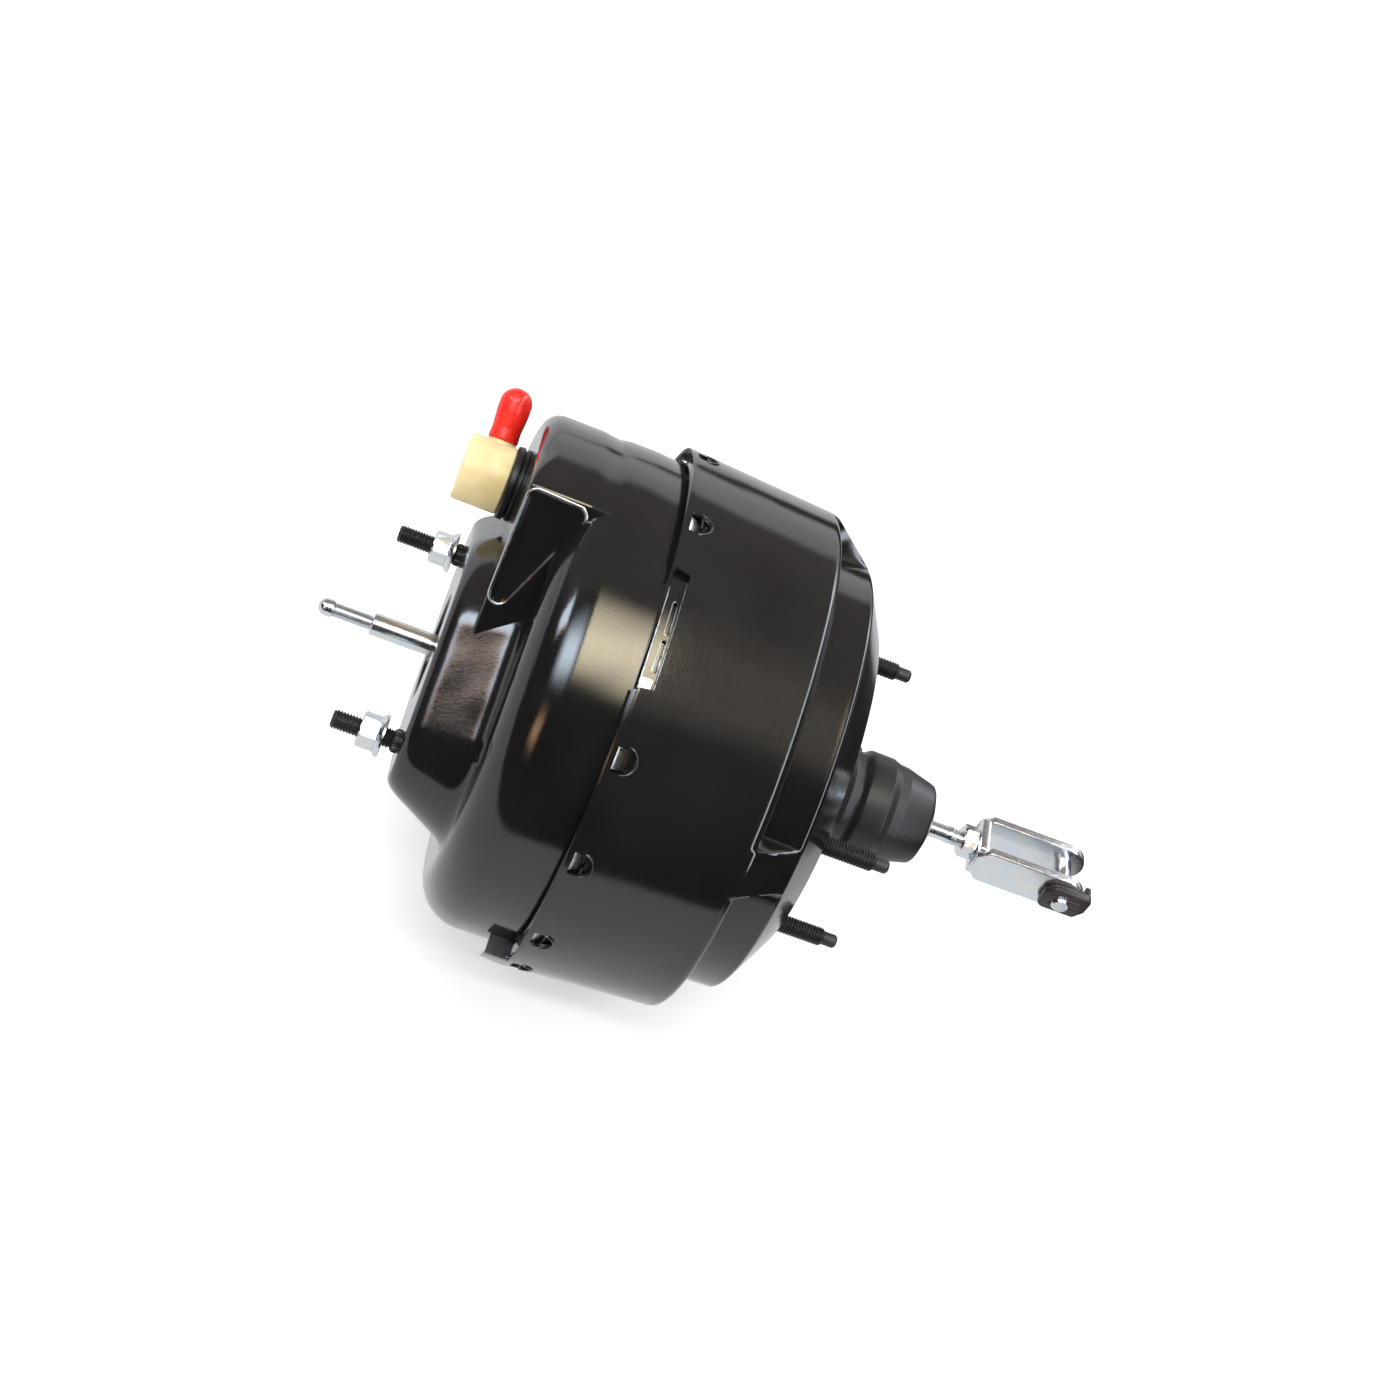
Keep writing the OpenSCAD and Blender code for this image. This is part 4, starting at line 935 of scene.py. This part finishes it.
def stud_front(side):
    """A front stud: its thread, and a collar with flutes against the seat."""
    seat, radius = SEAT_X, 4.6
    screw = thread("screw", seat - 28.5, seat - 3.4, 4.0)
    outline = [(seat - 3.6, 3.6), (seat - 3.2, 4.3), (seat - 2.6, radius), (seat, radius), (seat, 3.6)]
    collar = revolve("collar", outline, 40)
    flutes = ribbed("flutes", seat - 2.8, seat - 0.2, radius, 0.35, 26)
    return join("front_stud", [shift(p, side * STUD_Y) for p in (screw, collar, flutes)])


def ribbed(name, x0, x1, radius, depth, count):
    """A knurled band."""
    cols = count * 4
    verts = []
    for x, cut in ((x0, 1), (x0 + 0.4, 0), (x1 - 0.4, 0), (x1, 1)):
        for c in range(cols):
            r = radius + (depth if c % 4 in (1, 2) and not cut else 0)
            verts.append(around(x, r, 2 * math.pi * c / cols))
    return make(name, verts, quads(4, cols) + ends(4, cols), 30)


def stud_rear(y, z):
    """A rear stud: its thread, a plain point, and a collar at the face."""
    screw = thread("screw", 0.6, 24.4, 4.0)
    point = turned("point", [(24.0, 0), (24.0, 2.9), (29.4, 2.9, 0.8), (30.4, 2.2, 0.5), (30.4, 0)], 40)
    collar = revolve("collar", [(-3, 3.5), (-3, 4.0), (0.9, 4.0), (1.2, 3.5)], 40)
    return join("rear_stud", [shift(p, y, z) for p in (screw, point, collar)])


def studs_and_nuts():
    """All studs, the front studs' heads inside, and their flange nuts."""
    front = [stud_front(side) for side in (1, -1)]
    outline = [(-163.7, 0), (-163.7, 8, 0.5), (-160.7, 8, 1), (-160.7, 0)]
    heads = [shift(turned("head", outline, 40), side * STUD_Y) for side in (1, -1)]
    put(join("front_stud_set", front + heads), HOUSING, "black_phosphate", "front_studs")
    nuts = []
    for back, y in ((SEAT_X - 3.4, STUD_Y), (SEAT_X - 7, -STUD_Y)):
        nuts.append(shift(nut("nut", back, 10, 13, 3.6, flange_r=9.0, flange_t=1.6), y))
    put(join("front_nut_set", nuts), HOUSING, "zinc", "front_nuts")
    places = ((REAR_Y, REAR_Z), (-REAR_Y, REAR_Z), (-REAR_Y, -REAR_Z), (REAR_Y, -REAR_Z))
    put(join("rear_stud_set", [stud_rear(y, z) for y, z in places]), HOUSING, "black_phosphate", "rear_studs")


def rods():
    """The output rod, and its adjusting screw with a round tip."""
    outline = [(-84, 0), (-84, 4.75), (-190.5, 4.75), (-194.2, 4.75, 0.6), (-194.8, 4.2, 0.3), (-194.8, 0)]
    shaft = turned("shaft", outline, 64)
    flange = turned("flange", [
        (-80, 0), (-80, 14.9, 0.5), (-84, 14.9, 0.8), (-84, 8), (-87, 5.2, 1.5), (-88, 4.7), (-84, 0),
    ], 64)
    put(join("output_rod_shaft", [shaft, flange]), PISTON, "zinc", "output_rod")
    tip, radius = -211.0, 3.7
    screw = thread("screw", tip - 0.4, -194.4, 3.3, pitch=1.0, cols=32, steps=8, depth=0.5)
    quarter = np.linspace(0, math.pi / 2, 12)
    round_end = [(tip - 3.2 - 3.4 * math.sin(a), radius * math.cos(a)) for a in quarter]
    dome = turned("dome", [(tip, 0), (tip, 3.2), (tip - 0.3, 3.6), (tip - 0.8, radius)] + round_end, 48)
    put(join("output_rod_point", [screw, dome]), PISTON, "zinc", "output_rod_tip")


def boot():
    """The rubber boot, between the housing and the valve body."""
    outer = bent([
        (0.0, 24.4), (0.9, 24.4, 0.5), (2.4, 22.0, 1.0), (4.4, 21.4, 1.2), (6.2, 22.8, 1.4),
        (11.0, 22.9, 2.0), (14.6, 21.0, 1.6), (18.6, 20.5, 1.8), (21.4, 22.6, 2.0), (31.5, 22.5, 2.0),
        (34.6, 21.3, 1.5), (39.0, 20.9, 2.0), (51.8, 17.6, 2.2), (53.9, 12.0, 1.4), (54.0, 8.6, 0.7),
        (53.0, 7.7, 0.5), (50, 7.7),
    ], 7)
    inner = [
        (49.5, 9.2), (51.0, 12.5), (49.5, 16.4), (39.0, 19.5), (33, 20.0), (22.5, 20.6), (18.2, 19.0),
        (14.0, 19.6), (10.0, 21.3), (6.5, 21.2), (4.2, 20.3), (2.0, 20.6), (0.0, 22.6),
    ]
    obj = revolve("boot_skin", outer + inner, 160, sharp=60)
    dress(obj, "rubber")
    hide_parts("boot")
    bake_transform(obj)


def input_link():
    """The input rod with its jam nut, the clevis, its pin and the pin's clip."""
    body = "input_link"
    rod = turned("rod", [
        (-4, 0), (-4, 3.0), (1.5, 3.0), (2.4, 3.6, 0.5), (64.0, 3.6, 0.5), (65, 3.9), (66, 3.95), (66, 0),
    ], 48)
    ball_x, ball_r = -12, 5
    turns = np.linspace(math.pi, 0.55, 20)
    round_side = [(ball_x + ball_r * math.cos(a), ball_r * math.sin(a)) for a in turns]
    ball = turned("ball", round_side + [(-4, 2.5), (-4, 0)], 48)
    collar = turned("collar", [(24, 0), (24, 7, 0.3), (25.5, 7, 0.3), (25.5, 0)], 48, 2)
    screw = thread("screw", 65, 83.5, 3.95)
    put(join("input_rod_shaft", [rod, ball, collar, screw]), body, "zinc", "input_rod")
    put(nut("jam_nut_hex", 77.5, 6.5, 13, 3.7), body, "zinc", "jam_nut")
    put(clevis(), body, "zinc", "clevis")
    pin = turned("pin", [
        (-15.5, 0), (-15.5, 3.3), (-14.6, 4, 0.3), (12.8, 4), (12.9, 4.0), (12.9, 5.4, 0.4), (15.0, 5.4, 0.7),
        (15.0, 0),
    ], 48)
    put(along_y(pin, PIN_X, -2), body, "zinc", "clevis_pin")
    put(clip(), body, "clip_plastic", "pin_clip")


def ear_outline():
    """Side of a clevis ear in (x, z): chamfered heel, straight edges with a small step, round end."""
    half = 9.5
    heel = [(77.6, -5.0, 0.8), (82.5, -half, 2), (107, -half, 2)]
    turns = np.linspace(0.05, math.pi - 0.05, 28)
    points = heel + [(PIN_X + half * math.sin(a), -half * math.cos(a)) for a in turns]
    points += [(x, -z, radius) for x, z, radius in heel[::-1]]
    return bent(points, 4, closed=True)


def plate_piece(name, outline, low, high, edge):
    """A flat plate whose outline is given in (x, z), between two heights in Y."""
    obj = prism(name, [(z, x) for x, z in outline], low, high, edge)
    verts = np.array([v.co for v in obj.data.vertices])
    obj.data.vertices.foreach_set("co", verts[:, [2, 0, 1]].astype(np.float32).ravel())
    finish_normals(obj, 40)
    return obj


def rounded_box(x0, x1, z0, z1, radius, steps):
    """An oblong outline with round corners."""
    return bent([(x0, z0, radius), (x1, z0, radius), (x1, z1, radius), (x0, z1, radius)], steps, closed=True)


def clevis():
    """A strip of plated steel bent into a fork."""
    ears = [plate_piece("ear", ear_outline(), y, y + 4, 0.7) for y in (-11, 7)]
    base = prism("base", rounded_box(-9.2, 9.2, -8.6, 8.6, 1.5, 4), 77.6, 81.6, 0.6)
    return join("clevis_fork", ears + [base])


def clip():
    """A moulded plastic clip: a thick plate over the pin's end, with ribs, hooked round the ear's end."""
    outline = bent([
        (110.5, -7.0, 3), (128.0, -7.0, 2), (131.0, -2.0, 2), (131.4, 7.0, 3), (114.0, 7.0, 2.5),
        (110.5, 3.0, 2),
    ], 5, closed=True)
    plate = plate_piece("plate", outline, -15, -11.02, 1.1)
    hook = plate_piece("hook", rounded_box(128.7, 131.2, -4, 5, 0.6, 3), -12, -5.6, 0.5)
    ribs = []
    for x, z in ((114, -3.4), (121, -3.8), (114, 1.4), (121.5, 2.2)):
        ribs.append(plate_piece("rib", rounded_box(x, x + 5.5, z, z + 1.2, 0.5, 3), -15.6, -14.6, 0.4))
    return join("pin_clip_body", [plate, hook] + ribs)


# Check valve

def on_platform(obj):
    return clock(shift(obj, VALVE_OFF), VALVE_CLOCK)


def check_valve():
    """The valve's nylon case with its nipple, the rubber grommet and the red cap."""
    front, back = -182.9, -163.3
    drum = turned("drum", [
        (front + 2, 0), (front + 0.9, 4, 2), (front, 12.2, 0.6), (front, 13.9, 0.5), (front + 1.6, 14.3, 0.4),
        (front + 1.9, 14.45), (back - 0.6, 14.45, 0.4), (back, 13.9, 0.4), (back, 0),
    ], 96, 4)
    neck = turned("neck", [
        (8, 0), (8, 6.4), (13.4, 6.4, 2.2), (15.6, 5.6, 0.8), (20, 5.2, 1), (33, 4.8, 0.6), (33, 0),
    ], 64, 4)
    tail = turned("tail", [(back - 1, 0), (back - 1, 7.9), (-148, 7.9), (-147, 7.2), (-147, 0)], 48)
    body = join("check_valve_case", [drum, along_y(neck, NIPPLE_X), tail])
    put(on_platform(body), "check_valve", "nylon", "check_valve_body")

    face, near = PLATFORM_X, back + 0.15
    barb = face + WALL
    grommet = revolve("grommet", bent([
        (near, 8.2), (near, 15.2, 0.5), (near + 0.85, 15.7, 0.5), (face - 2.4, 15.7, 0.4),
        (face - 2.0, 14.6, 0.4), (face - 1.4, 14.6, 0.3), (face - 1.2, 15.5, 0.4), (face, 15.5, 0.3),
        (face, 9.95), (barb, 9.95), (barb, 11.8, 0.4), (barb + 5, 9.8, 0.4), (barb + 5, 8.2),
    ], 3), 96)
    put(on_platform(grommet), HOUSING, "rubber", "check_valve_grommet")

    round_end = [(31.2 + 6.6 * math.sin(a), 6.8 * math.cos(a)) for a in np.linspace(0.05, math.pi / 2, 16)]
    cap = turned("cap", [
        (14.9, 5.0), (14.8, 6.0, 0.4), (15.6, 6.4, 0.6), (20, 6.2, 3), (27.5, 6.8, 5), (31.0, 6.8),
    ] + round_end, 64, 5, sharp=60)
    cap.name = "hose_cap_skin"
    put(on_platform(along_y(cap, NIPPLE_X)), "nipple_cap", "red_vinyl", "hose_cap")


# Inside pieces

def inner_soft_pieces():
    """Copies of the diaphragms and the return spring, in their slots' materials, in place of their CAD nodes.
    """
    for node, start, end, slot in (
        ("front_diaphragm", -0.0841, -0.0735, "rubber"),
        ("rear_diaphragm", -0.0790, -0.0300, "rubber"),
        ("return_spring", -0.1637, -0.0780, "spring_steel"),
    ):
        piece = frame["nodes"][node].copy()
        piece.data = frame["nodes"][node].data.copy()
        piece.name = node + "_skin"
        piece.parent = None
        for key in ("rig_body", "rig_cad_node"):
            if key in piece:
                del piece[key]
        bpy.context.scene.collection.objects.link(piece)
        dress(piece, slot)
        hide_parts(node)
        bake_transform(piece)


def dress_cad_nodes():
    """Every CAD node that still shows takes its slot's material."""
    slots = {row["node"]: row["material_slot"] for row in frame["record"]["subparts"]}
    for node, obj in frame["nodes"].items():
        dress(obj, slots[node])


# Studio

def camera():
    """The photograph's camera. Returns the viewer's side of the part, and down as the viewer sees it."""
    near = Vector((0, -math.sin(ROLL), math.cos(ROLL)))
    down = Vector((0, -math.cos(ROLL), -math.sin(ROLL)))
    axis = Vector((1, 0, 0))
    back = math.cos(LEAN) * near - math.sin(LEAN) * axis
    level = math.cos(LEAN) * axis + math.sin(LEAN) * near
    right = math.cos(TILT) * level - math.sin(TILT) * down
    up = -(math.sin(TILT) * level + math.cos(TILT) * down)
    target = Vector((AIM_X, 0, 0)) - down * AIM_UP
    data = bpy.data.cameras.new("view")
    data.sensor_width = SENSOR
    data.lens = SENSOR * FOCAL_PIXELS / FRAME_PIXELS
    data.clip_start, data.clip_end = 0.05, 20
    obj = add("view", data)
    turn = Matrix((right, up, back)).transposed().to_4x4()
    obj.matrix_world = Matrix.Translation((target + back * DISTANCE) * MM) @ turn
    bpy.context.scene.camera = obj
    return near, down


def lamp(name, towards, distance, size, power, colour=(1, 1, 1)):
    """A soft box in a direction from the part, facing it. Gloss doesn't see it."""
    data = bpy.data.lights.new(name, "AREA")
    data.shape = "RECTANGLE"
    data.size, data.size_y = size
    data.energy = power
    data.color = colour
    obj = add(name, data)
    direction = Vector(towards).normalized()
    obj.location = Vector(LAMP_AIM) + direction * distance
    obj.rotation_euler = (-direction).to_track_quat("-Z", "Y").to_euler()
    obj.visible_glossy = False


def rise(tree, value, low, high, start=0.0, stop=1.0):
    """A value that turns smoothly from start to stop while another one runs from low to high."""
    sockets = {"Value": value, "From Min": low, "From Max": high, "To Min": start, "To Max": stop}
    return node(tree, "MapRange", sockets, interpolation_type="SMOOTHSTEP")["Result"]


def maths(tree, operation, a, b):
    """One maths node between two sockets, or a socket and a number."""
    return node(tree, "Math", {0: a, 1: b}, operation=operation)["Value"]


def between(tree, value, low, high, soft):
    """One between low and high, with soft borders, and nothing outside."""
    up = rise(tree, value, low - soft / 2, low + soft / 2)
    down = rise(tree, value, high - soft / 2, high + soft / 2, 1.0, 0.0)
    return maths(tree, "MULTIPLY", up, down)


def mix_colour(tree, factor, a, b):
    """A colour mix whose sides are colours or sockets."""
    a, b = ((*side, 1) if isinstance(side, tuple) else side for side in (a, b))
    return node(tree, "Mix", {"Factor": factor, 6: a, 7: b}, data_type="RGBA")[2]


def world(near, down):
    """White for the camera, even light for the part, and for gloss a dark room with these light panels."""
    around_part = bpy.data.worlds.new("studio")
    bpy.context.scene.world = around_part
    around_part.use_nodes = True
    tree = around_part.node_tree
    place = node(tree, "TexCoord")["Generated"]
    below, beside, along = [
        node(tree, "VectorMath", {0: place, 1: axis}, operation="DOT_PRODUCT")["Value"]
        for axis in (down, near, (1, 0, 0))
    ]
    turn = maths(tree, "MULTIPLY", maths(tree, "ARCTAN2", below, beside), 180 / math.pi)
    total = ROOM
    for round_axis, along_axis, colour in PANELS:
        share = maths(tree, "MULTIPLY", between(tree, turn, *round_axis), between(tree, along, *along_axis))
        total = node(tree, "VectorMath", {0: share, 1: colour, 2: total}, operation="MULTIPLY_ADD")["Vector"]
    path = node(tree, "LightPath")
    seen = maths(tree, "MAXIMUM", path["Is Camera Ray"], path["Is Transmission Ray"])
    lit = mix_colour(tree, path["Is Glossy Ray"], grey(FILL), total)
    back = tree.nodes["Background"].inputs
    tree.links.new(mix_colour(tree, seen, lit, grey(1.0)), back["Color"])
    back["Strength"].default_value = 1.0


def floor():
    """A pale floor that shows white to the camera and keeps the part's shadow.

    Gloss sees it as a bright sheet under the part, and as dark as the room elsewhere.
    """
    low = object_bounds()[0][2]
    bpy.ops.mesh.primitive_plane_add(size=14, location=(0, 0, low - FLOOR_GAP))
    obj = bpy.context.object
    obj.name = "floor"
    mat = bpy.data.materials.new("floor")
    mat.use_nodes = True
    tree = mat.node_tree
    main = tree.nodes["Principled BSDF"]
    white, pale = (1, 1, 1, 1), (0.86, 0.86, 0.86, 1)
    plain = {"Base Color": pale, "Roughness": 0.9, "Specular IOR Level": 0.0, "Emission Color": white}
    for key, value in plain.items():
        main.inputs[key].default_value = value
    path = node(tree, "LightPath")
    glow = maths(tree, "MULTIPLY", path["Is Camera Ray"], FLOOR_GLOW)
    tree.links.new(glow, main.inputs["Emission Strength"])
    place = node(tree, "SeparateXYZ", {"Vector": node(tree, "TexCoord")["Object"]})
    in_y = rise(tree, place["Y"], SHEET_Y - SHEET_SOFT, SHEET_Y + SHEET_SOFT)
    in_x = rise(tree, place["X"], SHEET_X - SHEET_SOFT, SHEET_X + SHEET_SOFT, 1.0, 0.0)
    sheet = mix_colour(tree, maths(tree, "MULTIPLY", in_y, in_x), ROOM, SHEET)
    bright = node(tree, "Emission", {"Color": sheet})["Emission"]
    mix = node(tree, "MixShader", {0: path["Is Glossy Ray"], 1: main.outputs["BSDF"], 2: bright})
    tree.links.new(mix["Shader"], tree.nodes["Material Output"].inputs["Surface"])
    obj.data.materials.append(mat)
    obj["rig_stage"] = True


def studio():
    """Camera, world, floor and lamps."""
    bpy.context.scene.view_settings.view_transform = "Standard"
    near, down = camera()
    world(near, down)
    floor()
    lamp("sky", (-0.1, 0.25, 1.0), 1.5, (1.6, 1.2), 16)
    lamp("strip", near * 0.98 - down * 0.2, 1.3, (1.3, 0.10), 5.5, (1.0, 0.97, 0.93))
    lamp("front", (-1.0, -0.5, 0.45), 1.3, (0.5, 0.9), 5)
    lamp("rear", (1.0, 0.3, 0.5), 1.4, (0.6, 0.9), 4, (0.95, 0.98, 1.0))


dress_cad_nodes()
shell = rear_shell()
cut_windows(shell)
put(shell, HOUSING, "black_enamel", "rear_shell")
tongues, lips = zip(*[lance(a) for a in LANCES])
# Plated steel tongues: partly their bare cut edges, partly a painted highlight standing for glints on the
# enamel-coated tongues
put(join("lance_tongues", tongues), HOUSING, "plated_steel")
put(join("lance_lips", lips), HOUSING, "black_enamel")
put(notch_band(), HOUSING, "black_enamel")
put(notch_trim(), HOUSING, "plated_steel")
# Zinc beads round the pocket: painted highlight on its rounded edges
put(pocket_highlight_bead(), HOUSING, "zinc")
# A dark web that keeps the stop ear black: painted shade
put(ear_shade_web(), HOUSING, "black_phosphate")
put(join("front_shell_body", [front_shell(), platform()]), HOUSING, "black_enamel", "front_shell")
studs_and_nuts()
rods()
boot()
input_link()
check_valve()
inner_soft_pieces()
studio()
